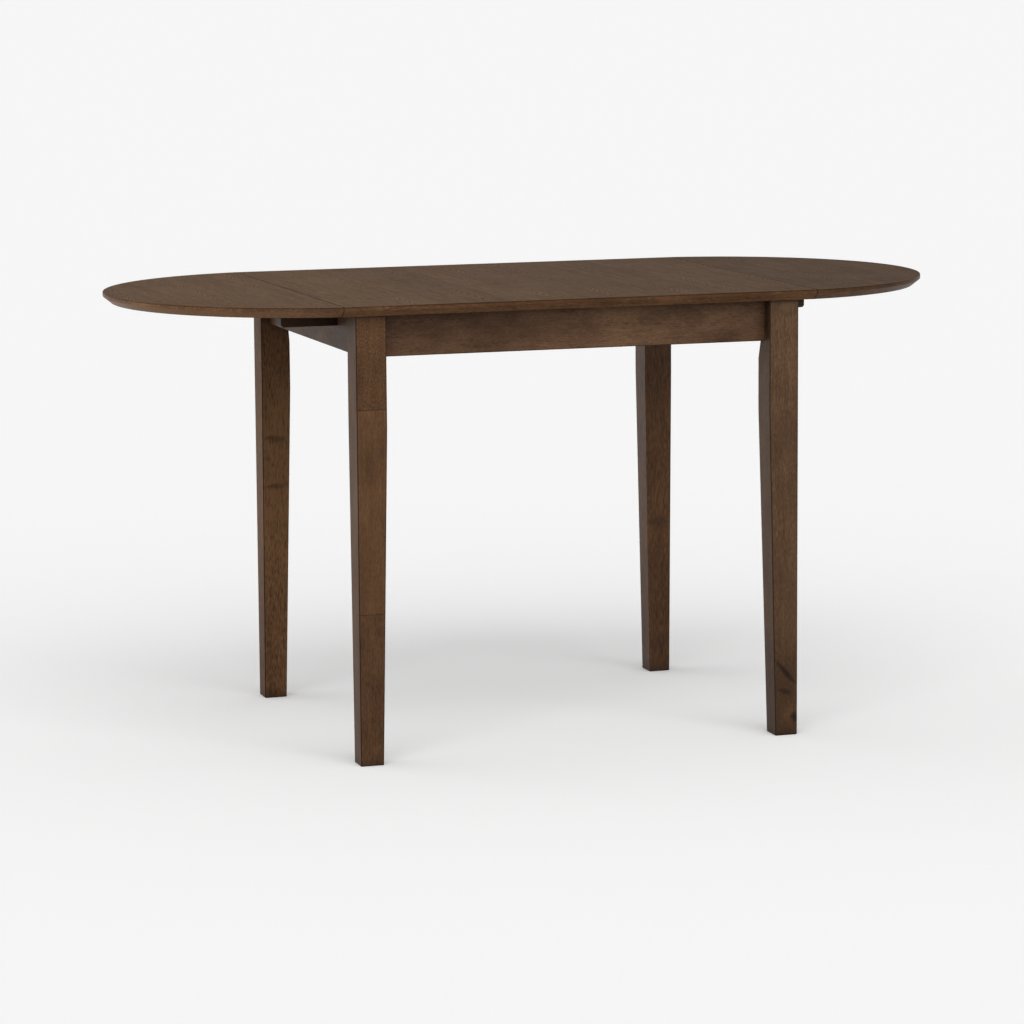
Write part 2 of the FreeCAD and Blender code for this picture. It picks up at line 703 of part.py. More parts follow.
# Hinges: flat plates under the boards, rolled into knuckles round a pin below the seam
def make_hinge_plate(label, place, spans, screws):
    """Half of a hinge whose plate runs along local +X, with knuckles over the given spans."""
    start = measure("knuckle_radius + knuckle_gap")
    plate = doc.addObject("Part::Box", f"{label}_plate")
    plate.setExpression("Length", cell("hinge_plate_depth - knuckle_radius - knuckle_gap"))
    plate.setExpression("Width", cell("hinge_width"))
    plate.setExpression("Height", cell("hinge_plate_thickness"))
    corner = Vector(start, -measure("hinge_width / 2"), -measure("hinge_plate_thickness"))
    plate.Placement = place * Placement(corner, Rotation())
    pieces = [plate]
    for number, (low, high) in enumerate(spans):
        knuckle = doc.addObject("Part::Cylinder", f"{label}_knuckle_{number}")
        knuckle.setExpression("Radius", cell("knuckle_radius"))
        knuckle.setExpression("Height", cell(f"({high}) - ({low})"))
        axis = Vector(0, measure(low), -measure(HINGE_AXIS_DROP))
        knuckle.Placement = place * Placement(axis, Rotation(Vector(1, 0, 0), -90))
        neck = doc.addObject("Part::Box", f"{label}_neck_{number}")
        neck.setExpression("Length", cell("knuckle_radius + knuckle_gap"))
        neck.setExpression("Width", cell(f"({high}) - ({low})"))
        neck.setExpression("Height", cell("hinge_plate_thickness - slide_clearance"))
        base = Vector(0, measure(low), -measure("hinge_plate_thickness"))
        neck.Placement = place * Placement(base, Rotation())
        pieces += [knuckle, neck]
    blank = doc.addObject("Part::MultiFuse", f"{label}_blank")
    blank.Shapes = pieces
    blank.Refine = True
    bore_start = Vector(0, -measure("hinge_width / 2 + cut_overrun"), -measure(HINGE_AXIS_DROP))
    bore = rod(place, bore_start, Vector(0, 1, 0), measure("hinge_pin_radius + fit_clearance"),
               measure("hinge_width + 2 * cut_overrun"))
    return drilled(label, blank, [bore] + [screw.hole() for screw in screws])


def make_hinge(side_name, side, step_name, step):
    """Fixed plate, moving plate and pin of one hinge."""
    label = f"{side_name}_{step_name}_hinge"
    place = hinge_place(side, step)
    middle = "middle_knuckle_length / 2"
    end_start = "middle_knuckle_length / 2 + slide_clearance"
    ends = [(end_start, "hinge_width / 2"), ("0 - hinge_width / 2", f"0 - ({end_start})")]
    make_hinge_plate(f"{label}_fixed_plate", turned(place), ends, fixed_plate_screws[side_name, step_name])
    make_hinge_plate(f"{label}_moving_plate", place, [(f"0 - {middle}", middle)],
                     moving_plate_screws[side_name, step_name])
    pin = doc.addObject("Part::Cylinder", f"{label}_pin_rod")
    pin.setExpression("Radius", cell("hinge_pin_radius"))
    pin.setExpression("Height", cell("hinge_width"))
    axis = Vector(0, -measure("hinge_width / 2"), -measure(HINGE_AXIS_DROP))
    pin.Placement = place * Placement(axis, Rotation(Vector(1, 0, 0), -90))
    keep(pin, f"{label}_pin")


# Steel fasteners of the frame
def make_leg_bolts(corners):
    """Hanger bolts, washers and nuts, one of each at every leg."""
    bolt = measure("bolt_radius")
    clearance = measure("fit_clearance")
    washer_top = f"({BLOCK_FAR_FACE} + washer_thickness)"
    nut_top = f"({washer_top} + nut_height)"
    bolts = []
    washers = []
    nuts = []
    for side, end in corners:
        bolts.append(bolt_rod(side, end, BOLT_START, f"{nut_top} + bolt_tail", bolt))
        disc = bolt_rod(side, end, BLOCK_FAR_FACE, washer_top, measure("washer_radius"))
        bore = bolt_rod(side, end, BLOCK_FAR_FACE, nut_top, bolt + clearance)
        washers.append(disc.cut(bore))
        seat = Placement(Vector(measure(washer_top), 0, 0), Rotation(Vector(0, 1, 0), 90))
        circumradius = measure("nut_across_flats") / math.sqrt(3)
        angles = [math.radians(60 * corner) for corner in range(7)]
        ring = [Vector(circumradius * math.cos(a), circumradius * math.sin(a), 0) for a in angles]
        prism = Part.Face(Part.makePolygon(ring)).extrude(UP * measure("nut_height"))
        prism.Placement = bolt_place(side, end) * seat
        nuts.append(prism.cut(bore))
    group("hanger_bolts", bolts)
    group("hanger_bolt_washers", washers)
    group("hanger_bolt_nuts", nuts)


def make_brackets():
    """Steel angles under the centre top, as one set."""
    body = doc.addObject("PartDesign::Body", "bracket_pattern")
    section = sketch_on(body, "bracket_section", "XZ_Plane")
    draw_polygon(section, [("0", "0"), ("0", "0 - bracket_leg"), ("bracket_thickness", "0 - bracket_leg"),
                           ("bracket_thickness", "0 - bracket_thickness"),
                           ("bracket_leg", "0 - bracket_thickness"), ("bracket_leg", "0")])
    pad(body, section, "bracket_width", symmetric=True)
    doc.recompute()
    angles = []
    screws = list(bracket_top_screws)
    for held in bracket_apron_screws.values():
        screws += held
    holes = Part.makeCompound([screw.hole() for screw in screws])
    for _, place in bracket_places():
        angle = body.Shape.copy()
        angle.Placement = place
        angles.append(angle.cut(holes))
    group("top_brackets", angles)
    group("top_bracket_screws", [screw.solid() for screw in screws])


def make_screw_sets():
    """Screws that go with the hinges, the bearing blocks and the corner blocks, by body."""
    fixed = []
    for screws in fixed_plate_screws.values():
        fixed += screws
    group("hinge_fixed_plate_screws", [screw.solid() for screw in fixed])
    for side_name, side in LEFT_RIGHT.items():
        moving = []
        for step_name in HINGE_STEPS:
            moving += moving_plate_screws[side_name, step_name]
        group(f"{side_name}_hinge_moving_plate_screws", [screw.solid() for screw in moving])
        ramps = ramp_screws(side, -1) + ramp_screws(side, 1)
        group(f"{side_name}_bearing_block_screws", [screw.solid() for screw in ramps])
    blocks = []
    for screws in all_block_screws.values():
        blocks += screws
    group("corner_block_screws", [screw.solid() for screw in blocks])


def write_parts():
    """Stops if anything failed to build, then writes one file for each sub-part."""
    doc.recompute()
    for item in doc.Objects:
        if "Invalid" in item.State or "Error" in item.State:
            raise RuntimeError(f"{item.Label} did not build: {item.State}")
    for item in nodes:
        if item.Shape.isNull() or not item.Shape.isValid() or not item.Shape.Solids:
            raise RuntimeError(f"{item.Label} has no valid solid")
    os.makedirs("parts", exist_ok=True)
    for item in nodes:
        item.Shape.exportStep(f"parts/{item.Label}.step")
        volume = sum(solid.Volume for solid in item.Shape.Solids)
        print(f"{item.Label}: {len(item.Shape.Solids)} solid(s), {volume:.0f} cubic mm")
    print(f"{len(nodes)} pieces")


corners = [(side, end) for side in LEFT_RIGHT.values() for end in FRONT_REAR.values()]
for side_name, side in LEFT_RIGHT.items():
    for end_name, end in FRONT_REAR.items():
        make_leg(side_name, side, end_name, end)
        make_corner_block(side_name, side, end_name, end)
        make_bar(side_name, side, end_name, end)
        make_bearing_block(side_name, side, end_name, end)
    make_end_apron(side_name, side)
    make_guide_rail(side_name, side)
    make_leaf(side_name, side)
    for step_name, step in HINGE_STEPS.items():
        make_hinge(side_name, side, step_name, step)
for end_name, end in FRONT_REAR.items():
    make_long_apron(end_name, end)
make_centre_top()
make_leg_bolts(corners)
make_brackets()
make_screw_sets()
dowels = []
for side, end in corners:
    dowels += dowel_rods(side, end)
group("rail_dowels", dowels)
write_parts()
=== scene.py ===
"""Studio scene of a walnut-stained drop-leaf table: finishes, small hardware, light and camera."""

import json
import logging
import math
from dataclasses import dataclass, field
from enum import Enum
from functools import reduce
from typing import Any, ClassVar, Union

import bmesh
import bpy
from mathutils import Color, Matrix, Vector

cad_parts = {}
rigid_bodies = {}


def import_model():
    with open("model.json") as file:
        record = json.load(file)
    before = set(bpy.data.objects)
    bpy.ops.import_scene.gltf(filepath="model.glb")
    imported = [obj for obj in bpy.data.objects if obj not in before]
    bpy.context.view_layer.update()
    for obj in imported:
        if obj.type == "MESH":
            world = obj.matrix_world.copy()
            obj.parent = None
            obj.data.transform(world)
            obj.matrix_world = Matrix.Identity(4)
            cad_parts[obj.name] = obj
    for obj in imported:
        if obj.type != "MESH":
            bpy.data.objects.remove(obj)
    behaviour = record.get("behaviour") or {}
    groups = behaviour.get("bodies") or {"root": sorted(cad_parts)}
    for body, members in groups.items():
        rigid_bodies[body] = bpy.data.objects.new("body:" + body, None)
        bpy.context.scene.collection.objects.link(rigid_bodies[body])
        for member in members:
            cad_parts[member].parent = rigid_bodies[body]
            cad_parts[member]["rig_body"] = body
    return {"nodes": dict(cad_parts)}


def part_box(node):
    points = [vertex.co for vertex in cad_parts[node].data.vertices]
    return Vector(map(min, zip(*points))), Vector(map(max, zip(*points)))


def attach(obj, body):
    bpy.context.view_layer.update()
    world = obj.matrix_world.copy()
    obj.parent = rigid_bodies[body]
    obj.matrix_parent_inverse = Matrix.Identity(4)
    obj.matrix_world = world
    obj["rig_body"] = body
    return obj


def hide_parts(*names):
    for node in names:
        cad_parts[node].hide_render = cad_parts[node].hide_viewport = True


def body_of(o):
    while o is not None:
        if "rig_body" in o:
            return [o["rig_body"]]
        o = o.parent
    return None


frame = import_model()

LOG = logging.getLogger("drop_leaf_table")

Socket = bpy.types.NodeSocket
Outputs = bpy.types.bpy_prop_collection
Pair = tuple[float, float]
Triple = tuple[float, float, float]
Light = tuple[float, float, float, float]
# A band's first two numbers are mapped onto its last two.
Band = tuple[float, float, float, float]
Profile = list[Pair]
Value = Union[Socket, float, tuple[float, ...]]
Inputs = dict[Union[str, int], Value]

SIDES = ("left", "right")
ENDS = ("front", "rear")
ORIGIN = Vector().freeze()
FULL_CHANNEL = 255.0
NOISE_MIDDLE = 0.5
SAME_PLACE = 1e-6
SAME_RING = 1e-5
SHARP_ANGLE = 35.0


class GrainRun(Enum):
    """Direction in which the fibres of a piece run, with the turn that lays it along local Z."""

    ALONG_X = (0.0, math.radians(-90.0), 0.0)
    ALONG_Y = (math.radians(90.0), 0.0, 0.0)
    UPRIGHT = (0.0, 0.0, 0.0)


class BoardEnd(Enum):
    """End of a board along X, with the number of the box corner that it reaches."""

    LEFT = 0
    RIGHT = 1


def linear(colour: Triple) -> Light:
    """Turns a display colour of 0 to 255 into linear light with full alpha."""
    shown = Color([channel / FULL_CHANNEL for channel in colour])
    return (*shown.from_srgb_to_scene_linear(), 1.0)


def grey(level: float) -> Light:
    """Grey light of one level with full alpha."""
    return (level, level, level, 1.0)


@dataclass(frozen=True)
class Layer:
    """Noise that is stretched along the axes.

    Attributes:
        rate: How often it changes along X, Y and Z, for each unit of the place.
        detail: How many finer noises are added to it.
        roughness: How strong those are.
    """

    rate: Value
    detail: float = 1.0
    roughness: float = 0.5


class Graph:
    """Short way to place and link nodes in one shader tree."""

    # The mix node has sockets of the same name for each type, so those for colours go by number.
    MIX_SHARE = 0
    MIX_FIRST = 6
    MIX_SECOND = 7
    MIX_RESULT = 2

    def __init__(self, tree: bpy.types.NodeTree) -> None:
        """Keeps the tree that the nodes go into."""
        self.tree = tree

    def give(self, node: bpy.types.Node, inputs: Inputs) -> None:
        """Sets or links inputs of a node.

        Args:
            node: Node that takes them.
            inputs: Values or sockets, by the name or number of the input.
        """
        for key, value in inputs.items():
            if isinstance(value, Socket):
                self.tree.links.new(value, node.inputs[key])
            else:
                node.inputs[key].default_value = value

    def node(self, kind: str, inputs: Inputs | None = None, **settings: Any) -> bpy.types.Node:
        """Adds one node.

        Args:
            kind: Blender's name of the node type.
            inputs: Values or sockets for its inputs.
            settings: Plain properties of the node, such as operation.

        Returns:
            The new node.
        """
        made = self.tree.nodes.new(kind)
        for name, value in settings.items():
            setattr(made, name, value)
        self.give(made, inputs or {})
        return made

    def math(self, operation: str, first: Value, second: Value = 0.0, clamp: bool = False) -> Socket:
        """Works on one or two numbers and returns the result."""
        inputs = {0: first, 1: second}
        return self.node("ShaderNodeMath", inputs, operation=operation, use_clamp=clamp).outputs[0]

    def add(self, *numbers: Value) -> Socket:
        """Adds numbers up."""
        return reduce(lambda total, number: self.math("ADD", total, number), numbers)

    def times(self, *numbers: Value) -> Socket:
        """Multiplies numbers."""
        return reduce(lambda product, number: self.math("MULTIPLY", product, number), numbers)

    def less(self, number: Value, taken: Value) -> Socket:
        """Takes the second number from the first."""
        return self.math("SUBTRACT", number, taken)

    def swing(self, noise: Socket, strength: Value) -> Socket:
        """Turns a noise of 0 to 1 into a change of that strength about zero."""
        return self.times(self.less(noise, NOISE_MIDDLE), strength)

    def vector(self, operation: str, first: Value, second: Value) -> Socket:
        """Works on two vectors and returns the result."""
        return self.node("ShaderNodeVectorMath", {0: first, 1: second}, operation=operation).outputs["Vector"]

    def split(self, vector: Socket) -> tuple[Socket, Socket, Socket]:
        """Takes a vector apart into its three numbers."""
        outputs = self.node("ShaderNodeSeparateXYZ", {0: vector}).outputs
        return outputs[0], outputs[1], outputs[2]

    def join(self, x: Value, y: Value, z: Value) -> Socket:
        """Puts three numbers together into a vector."""
        return self.node("ShaderNodeCombineXYZ", {0: x, 1: y, 2: z}).outputs[0]

    def span(self, value: Socket, low: float, high: float, start: float = 0.0, stop: float = 1.0) -> Socket:
        """Maps low to high smoothly onto start to stop.

        Args:
            value: Number to map.
            low: Value that gives start.
            high: Value that gives stop.
            start: First result.
            stop: Last result.

        Returns:
            The mapped number, held inside start and stop.
        """
        inputs = {"Value": value, "From Min": low, "From Max": high, "To Min": start, "To Max": stop}
        made = self.node("ShaderNodeMapRange", inputs, interpolation_type="SMOOTHSTEP", clamp=True)
        return made.outputs["Result"]

    def noise(self, place: Socket, layer: Layer, output: str = "Fac") -> Socket:
        """Adds a noise of about 0 to 1.

        Args:
            place: Where each point is.
            layer: Rate, detail and roughness of the noise.
            output: Whether its number or its colour is taken.

        Returns:
            The chosen output.
        """
        stretched = self.vector("MULTIPLY", place, layer.rate)
        inputs = {"Vector": stretched, "Scale": 1.0, "Detail": layer.detail, "Roughness": layer.roughness}
        return self.node("ShaderNodeTexNoise", inputs).outputs[output]

    def blend(self, share: Value, first: Value, second: Value) -> Socket:
        """Mixes two colours.

        Args:
            share: How much of the second colour, from 0 to 1.
            first: Colour at 0.
            second: Colour at 1.

        Returns:
            The mixed colour.
        """
        made = self.node("ShaderNodeMix", data_type="RGBA", clamp_factor=True)
        self.give(made, {self.MIX_SHARE: share, self.MIX_FIRST: first, self.MIX_SECOND: second})
        return made.outputs[self.MIX_RESULT]

    def ramp(self, value: Socket, stops: list[tuple[float, Light]]) -> Socket:
        """Turns a number into a colour.

        Args:
            value: Number to colour.
            stops: Position and linear colour of each stop, in order.

        Returns:
            The colour.
        """
        made = self.node("ShaderNodeValToRGB", {0: value})
        elements = made.color_ramp.elements
        for position, _ in stops[len(elements):]:
            elements.new(position)
        for element, (position, colour) in zip(elements, stops):
            element.position = position
            element.color = colour
        return made.outputs["Color"]

    def turned(self, place: Socket, run: GrainRun) -> Socket:
        """Turns places so that the fibres run along Z."""
        return self.node("ShaderNodeMapping", {"Vector": place, "Rotation": run.value}).outputs[0]

    def bump(self, height: Socket, strength: float, distance: float) -> Socket:
        """Turns a relief into a normal."""
        inputs = {"Height": height, "Strength": strength, "Distance": distance}
        return self.node("ShaderNodeBump", inputs).outputs[0]


class SharedEffect:
    """Shader node group with named inputs and outputs that several finishes place."""

    def __init__(self, name: str, inputs: dict[str, float | None], outputs: tuple[str, ...]) -> None:
        """Makes an empty group.

        Args:
            name: Name of the group.
            inputs: First value of each number, and None for each vector.
            outputs: Names of the numbers that it puts out.
        """
        self.tree = bpy.data.node_groups.new(name, "ShaderNodeTree")
        for label, value in inputs.items():
            kind = "NodeSocketVector" if value is None else "NodeSocketFloat"
            socket = self.tree.interface.new_socket(label, in_out="INPUT", socket_type=kind)
            if value is not None:
                socket.default_value = value
        for label in outputs:
            self.tree.interface.new_socket(label, in_out="OUTPUT", socket_type="NodeSocketFloat")
        self.graph = Graph(self.tree)
        self.given = self.graph.node("NodeGroupInput").outputs
        self.result = self.graph.node("NodeGroupOutput")

    def place(self, graph: Graph, inputs: Inputs) -> Outputs:
        """Places the group in a material's graph and returns its outputs."""
        return graph.node("ShaderNodeGroup", inputs, node_tree=self.tree).outputs


class SolidGrain(SharedEffect):
    """Stained solid wood with its fibres along Z: flecks, streaks, stain blotches and dark pores."""

    SEED_STEP = (3.17, 7.73, 1.31)
    WANDER = Layer((9.0, 9.0, 2.2), detail=2.0)
    WANDER_REACH = (0.012, 0.012, 0.0)
    FLECK_RATE = 560.0
    FLECK_DETAIL = 2.0
    FLECK_ROUGHNESS = 0.6
    FLECK_RELIEF = 0.4
    STREAK = Layer((190.0, 190.0, 8.0), detail=4.0, roughness=0.6)
    BLOTCH = Layer((34.0, 34.0, 16.0), detail=3.0, roughness=0.55)
    CLOUD = Layer((8.0, 8.0, 5.0))
    VESSEL = Layer((560.0, 560.0, 48.0))
    VESSEL_SPAN = (0.58, 0.70)
    HAIR = Layer((1500.0, 1500.0, 110.0))
    HAIR_SPAN = (0.62, 0.74, 0.0, 0.6)

    def __init__(self) -> None:
        """Builds the group."""
        super().__init__(
            "solid_grain",
            {"Vector": None, "Seed": 0.0, "Fleck Length": 0.008, "Fleck": 0.5, "Streak": 0.3, "Blotch": 0.4,
             "Pore": 0.5},
            ("Tone", "Pores", "Height"))
        g, given = self.graph, self.given
        step = {0: self.SEED_STEP, "Scale": given["Seed"]}
        drift = g.node("ShaderNodeVectorMath", step, operation="SCALE").outputs["Vector"]
        place = g.vector("ADD", given["Vector"], drift)
        bend = g.vector("SUBTRACT", g.noise(place, self.WANDER, "Color"), (NOISE_MIDDLE,) * 3)
        place = g.vector("ADD", place, g.vector("MULTIPLY", bend, self.WANDER_REACH))
        rate = g.join(self.FLECK_RATE, self.FLECK_RATE, g.math("DIVIDE", 1.0, given["Fleck Length"]))
        fleck = g.noise(place, Layer(rate, self.FLECK_DETAIL, self.FLECK_ROUGHNESS))
        tone = g.add(
            NOISE_MIDDLE, g.swing(fleck, given["Fleck"]),
            g.swing(g.noise(place, self.STREAK), given["Streak"]),
            g.swing(g.noise(place, self.BLOTCH), given["Blotch"]),
            g.swing(g.noise(place, self.CLOUD), given["Blotch"]))
        vessels = g.span(g.noise(place, self.VESSEL), *self.VESSEL_SPAN)
        hairs = g.span(g.noise(place, self.HAIR), *self.HAIR_SPAN)
        pores = g.times(g.math("MAXIMUM", vessels, hairs), given["Pore"])
        relief = g.less(g.times(fleck, self.FLECK_RELIEF), pores)
        g.give(self.result, {"Tone": tone, "Pores": pores, "Height": relief})


class CrownVeneer(SharedEffect):
    """Crown-cut veneer laid in strips: growth rings cut into nested arches, with pores along Y."""

    HEART_REACH = 0.04
    START_REACH = 0.9
    STRIP_STEP = 0.37
    WAVE = Layer((14.0, 2.6, 1.0), detail=2.0)
    WAVE_REACH = 0.030
    WAVE_TONE = 0.12
    RIPPLE = Layer((70.0, 14.0, 1.0), detail=2.0)
    RIPPLE_REACH = 0.0030
    LATE_RISE = (0.10, 0.60)
    LATE_FALL = (0.84, 1.0, 1.0, 0.0)
    LATE_RELIEF = 0.3
    LATE_CLOSED = 0.8
    RING_STRENGTH = Layer((90.0, 1.0, 1.0))
    RING_SPAN = (0.3, 0.7, 0.25, 1.0)
    FIGURE = Layer((9.0, 4.0, 1.0))
    FIGURE_SPAN = (0.38, 0.60, 0.08, 0.36)
    FIBRE = Layer((620.0, 26.0, 1.0), detail=3.0, roughness=0.6)
    FIBRE_TONE = 0.85
    STREAK = Layer((120.0, 4.5, 1.0), detail=3.0, roughness=0.6)
    STREAK_TONE = 0.42
    DASH = Layer((1300.0, 70.0, 1.0))
    DASH_SPAN = (0.55, 0.70)

    def __init__(self) -> None:
        """Builds the group."""
        super().__init__(
            "crown_veneer",
            {"Vector": None, "Strip Width": 0.12, "Ring Pitch": 0.0036, "Slope": 0.13, "Crown": 0.010,
             "Pore": 0.5},
            ("Tone", "Pores", "Height", "Strip"))
        g, given = self.graph, self.given
        x, y, _ = g.split(given["Vector"])
        # The number of a strip draws its heart line, its start along the log and its direction.
        count = g.math("DIVIDE", x, given["Strip Width"])
        number = g.math("FLOOR", count)
        chance = g.node("ShaderNodeTexWhiteNoise", {"W": number}, noise_dimensions="1D").outputs["Color"]
        first, second, third = g.split(chance)
        across = g.swing(g.math("FRACT", count), given["Strip Width"])
        across = g.add(across, g.swing(first, self.HEART_REACH))
        along = g.add(y, g.times(second, self.START_REACH))
        way = g.math("SIGN", g.less(second, NOISE_MIDDLE))
        place = g.join(across, along, g.times(number, self.STRIP_STEP))
        wave = g.noise(place, self.WAVE)
        # Rings that slope along the log meet the face in arches about the heart line.
        arch = g.math("SQRT", g.add(g.times(across, across), g.times(given["Crown"], given["Crown"])))
        reach = g.add(
            arch, g.times(along, given["Slope"], way), g.times(wave, self.WAVE_REACH),
            g.times(g.noise(place, self.RIPPLE), self.RIPPLE_REACH))
        ring = g.math("FRACT", g.math("DIVIDE", reach, given["Ring Pitch"]))
        late = g.times(g.span(ring, *self.LATE_RISE), g.span(ring, *self.LATE_FALL))
        strength = g.span(g.noise(g.join(reach, number, 0.0), self.RING_STRENGTH), *self.RING_SPAN)
        figure = g.span(g.noise(place, self.FIGURE), *self.FIGURE_SPAN)
        tone = g.add(
            g.times(g.swing(late, strength), figure), NOISE_MIDDLE,
            g.swing(g.noise(place, self.FIBRE), self.FIBRE_TONE),
            g.swing(g.noise(place, self.STREAK), self.STREAK_TONE), g.swing(wave, self.WAVE_TONE))
        open_wood = g.less(1.0, g.times(late, self.LATE_CLOSED))
        pores = g.times(g.span(g.noise(place, self.DASH), *self.DASH_SPAN), open_wood, given["Pore"])
        relief = g.less(g.times(late, self.LATE_RELIEF), pores)
        g.give(self.result, {"Tone": tone, "Pores": pores, "Height": relief, "Strip": third})


class PaintedCornerShade(SharedEffect):
    """Mask of painted shade along the eased corners and chamfers of a squared timber, where the normal leans
    between two of its faces.
    """

    LEAN_SPAN = (0.10, 0.42)

    def __init__(self) -> None:
        """Builds the group."""
        super().__init__("painted_corner_shade", {"Normal": None, "Strength": 1.0}, ("Mask",))
        g = self.graph
        inputs = {0: self.given["Normal"]}
        lean = g.node("ShaderNodeVectorMath", inputs, operation="ABSOLUTE").outputs["Vector"]
        x, y, z = g.split(lean)
        most = g.math("MAXIMUM", x, g.math("MAXIMUM", y, z))
        least = g.math("MINIMUM", x, g.math("MINIMUM", y, z))
        second = g.less(g.add(x, y, z), g.add(most, least))
        g.give(self.result, {"Mask": g.times(g.span(second, *self.LEAN_SPAN), self.given["Strength"])})


class CreviceShade(SharedEffect):
    """Mask of inside corners and narrow gaps, darkened as painted shade."""

    DISTANCE = 0.03
    SAMPLES = 4
    ROOM_SPAN = (0.92, 0.40)

    def __init__(self) -> None:
        """Builds the group."""
        super().__init__("crevice_shade", {"Strength": 1.0}, ("Mask",))
        g = self.graph
        inputs = {"Distance": self.DISTANCE}
        room = g.node("ShaderNodeAmbientOcclusion", inputs, samples=self.SAMPLES).outputs["AO"]
        g.give(self.result, {"Mask": g.times(g.span(room, *self.ROOM_SPAN), self.given["Strength"])})


class EdgeShade(SharedEffect):
    """Mask that is 1 where a surface turns a corner and fades beside it."""

    RADIUS = 0.0008
    SAMPLES = 6
    AGREE_SPAN = (0.98, 0.75)

    def __init__(self) -> None:
        """Builds the group."""
        super().__init__("edge_shade", {"Strength": 1.0}, ("Mask",))
        g = self.graph
        rounded = g.node("ShaderNodeBevel", {"Radius": self.RADIUS}, samples=self.SAMPLES).outputs[0]
        flat = g.node("ShaderNodeNewGeometry").outputs["Normal"]
        inputs = {0: rounded, 1: flat}
        agree = g.node("ShaderNodeVectorMath", inputs, operation="DOT_PRODUCT").outputs["Value"]
        g.give(self.result, {"Mask": g.times(g.span(agree, *self.AGREE_SPAN), self.given["Strength"])})


class SatinWear(SharedEffect):
    """Roughness of a wiped satin lacquer: soft smears, and duller pores."""

    SMEAR = Layer((11.0, 11.0, 11.0), detail=4.0, roughness=0.6)
    SMEAR_CHANGE = 0.14
    PORE_CHANGE = 0.12

    def __init__(self) -> None:
        """Builds the group."""
        super().__init__("satin_wear", {"Vector": None, "Roughness": 0.5, "Pores": 0.0}, ("Roughness",))
        g, given = self.graph, self.given
        smear = g.swing(g.noise(given["Vector"], self.SMEAR), self.SMEAR_CHANGE)
        pores = g.times(given["Pores"], self.PORE_CHANGE)
        rough = g.math("ADD", g.add(given["Roughness"], smear), pores, clamp=True)
        g.give(self.result, {"Roughness": rough})


class MetalScuff(SharedEffect):
    """Fine rub marks and cloudy tone of plated steel."""

    CLOUD = Layer((130.0, 130.0, 130.0), detail=3.0, roughness=0.6)
    CLOUD_CHANGE = 0.3
    CLOUD_SHARE = 0.7
    RUB = Layer((2600.0, 260.0, 2600.0), detail=2.0)
    RUB_CHANGE = 0.15
    RUB_SHARE = 0.3

    def __init__(self) -> None:
        """Builds the group."""
        super().__init__(
            "metal_scuff", {"Vector": None, "Roughness": 0.35}, ("Tone", "Roughness", "Height"))
        g, given = self.graph, self.given
        cloud = g.noise(given["Vector"], self.CLOUD)
        rub = g.noise(given["Vector"], self.RUB)
        rough = g.add(given["Roughness"], g.swing(cloud, self.CLOUD_CHANGE))
        rough = g.math("ADD", rough, g.swing(rub, self.RUB_CHANGE), clamp=True)
        tone = g.add(g.times(cloud, self.CLOUD_SHARE), g.times(rub, self.RUB_SHARE))
        g.give(self.result, {"Tone": tone, "Roughness": rough, "Height": rub})


@dataclass(frozen=True)
class Effects:
    """Every shared effect, built once."""

    solid_grain: SolidGrain = field(default_factory=SolidGrain)
    crown_veneer: CrownVeneer = field(default_factory=CrownVeneer)
    painted_corner_shade: PaintedCornerShade = field(default_factory=PaintedCornerShade)
    crevice_shade: CreviceShade = field(default_factory=CreviceShade)
    edge_shade: EdgeShade = field(default_factory=EdgeShade)
    satin_wear: SatinWear = field(default_factory=SatinWear)
    metal_scuff: MetalScuff = field(default_factory=MetalScuff)


def fresh_graph(owner: bpy.types.Material | bpy.types.World) -> Graph:
    """Empties the node tree of a material or world.

    Args:
        owner: Material or world that has the tree.

    Returns:
        The tree's graph.
    """
    owner.use_nodes = True
    owner.node_tree.nodes.clear()
    return Graph(owner.node_tree)


def new_material(name: str) -> tuple[bpy.types.Material, Graph, bpy.types.Node]:
    """Makes a material with one principled shader.

    Args:
        name: Name of the material.

    Returns:
        The material, its graph and its shader node.
    """
    material = bpy.data.materials.new(name)
    graph = fresh_graph(material)
    shader = graph.node("ShaderNodeBsdfPrincipled")
    graph.node("ShaderNodeOutputMaterial", {"Surface": shader.outputs["BSDF"]})
    return material, graph, shader


@dataclass(frozen=True)
class WoodTones:
    """Three display colours of one stain, and its colour in the pores."""

    POSITIONS: ClassVar[Triple] = (0.22, 0.5, 0.8)

    dark: Triple
    middle: Triple
    light: Triple
    pore: Triple

    def stain(self, g: Graph, tone: Socket, pores: Socket) -> Socket:
        """Colours wood by its tone, darker in the pores."""
        colours = (linear(self.dark), linear(self.middle), linear(self.light))
        return g.blend(pores, g.ramp(tone, list(zip(self.POSITIONS, colours))), linear(self.pore))


WALNUT = WoodTones(dark=(56, 36, 22), middle=(82, 57, 37), light=(108, 78, 52), pore=(32, 19, 11))
WALNUT_WARM = WoodTones(dark=(52, 31, 15), middle=(78, 51, 28), light=(104, 72, 42), pore=(30, 17, 8))
WALNUT_OLIVE = WoodTones(dark=(60, 41, 25), middle=(85, 62, 43), light=(110, 85, 62), pore=(32, 20, 12))
WALNUT_TOP = WoodTones(dark=(54, 36, 21), middle=(77, 55, 35), light=(101, 76, 51), pore=(38, 25, 14))
WALNUT_EDGE = WoodTones(dark=(62, 42, 27), middle=(85, 60, 41), light=(134, 99, 69), pore=(34, 20, 11))
WALNUT_APRON = WoodTones(dark=(64, 44, 30), middle=(89, 65, 47), light=(114, 86, 62), pore=(38, 24, 15))
# Bar stain darkened as painted shade under the leaves.
WALNUT_BAR_PAINTED_SHADE = WoodTones(dark=(40, 26, 16), middle=(58, 39, 25), light=(76, 53, 35), pore=(24, 14, 8))
BACKING = WoodTones(dark=(66, 46, 31), middle=(88, 64, 45), light=(110, 83, 60), pore=(46, 31, 20))
INNER_WOOD = WoodTones(dark=(60, 42, 29), middle=(84, 61, 44), light=(108, 82, 60), pore=(42, 28, 18))
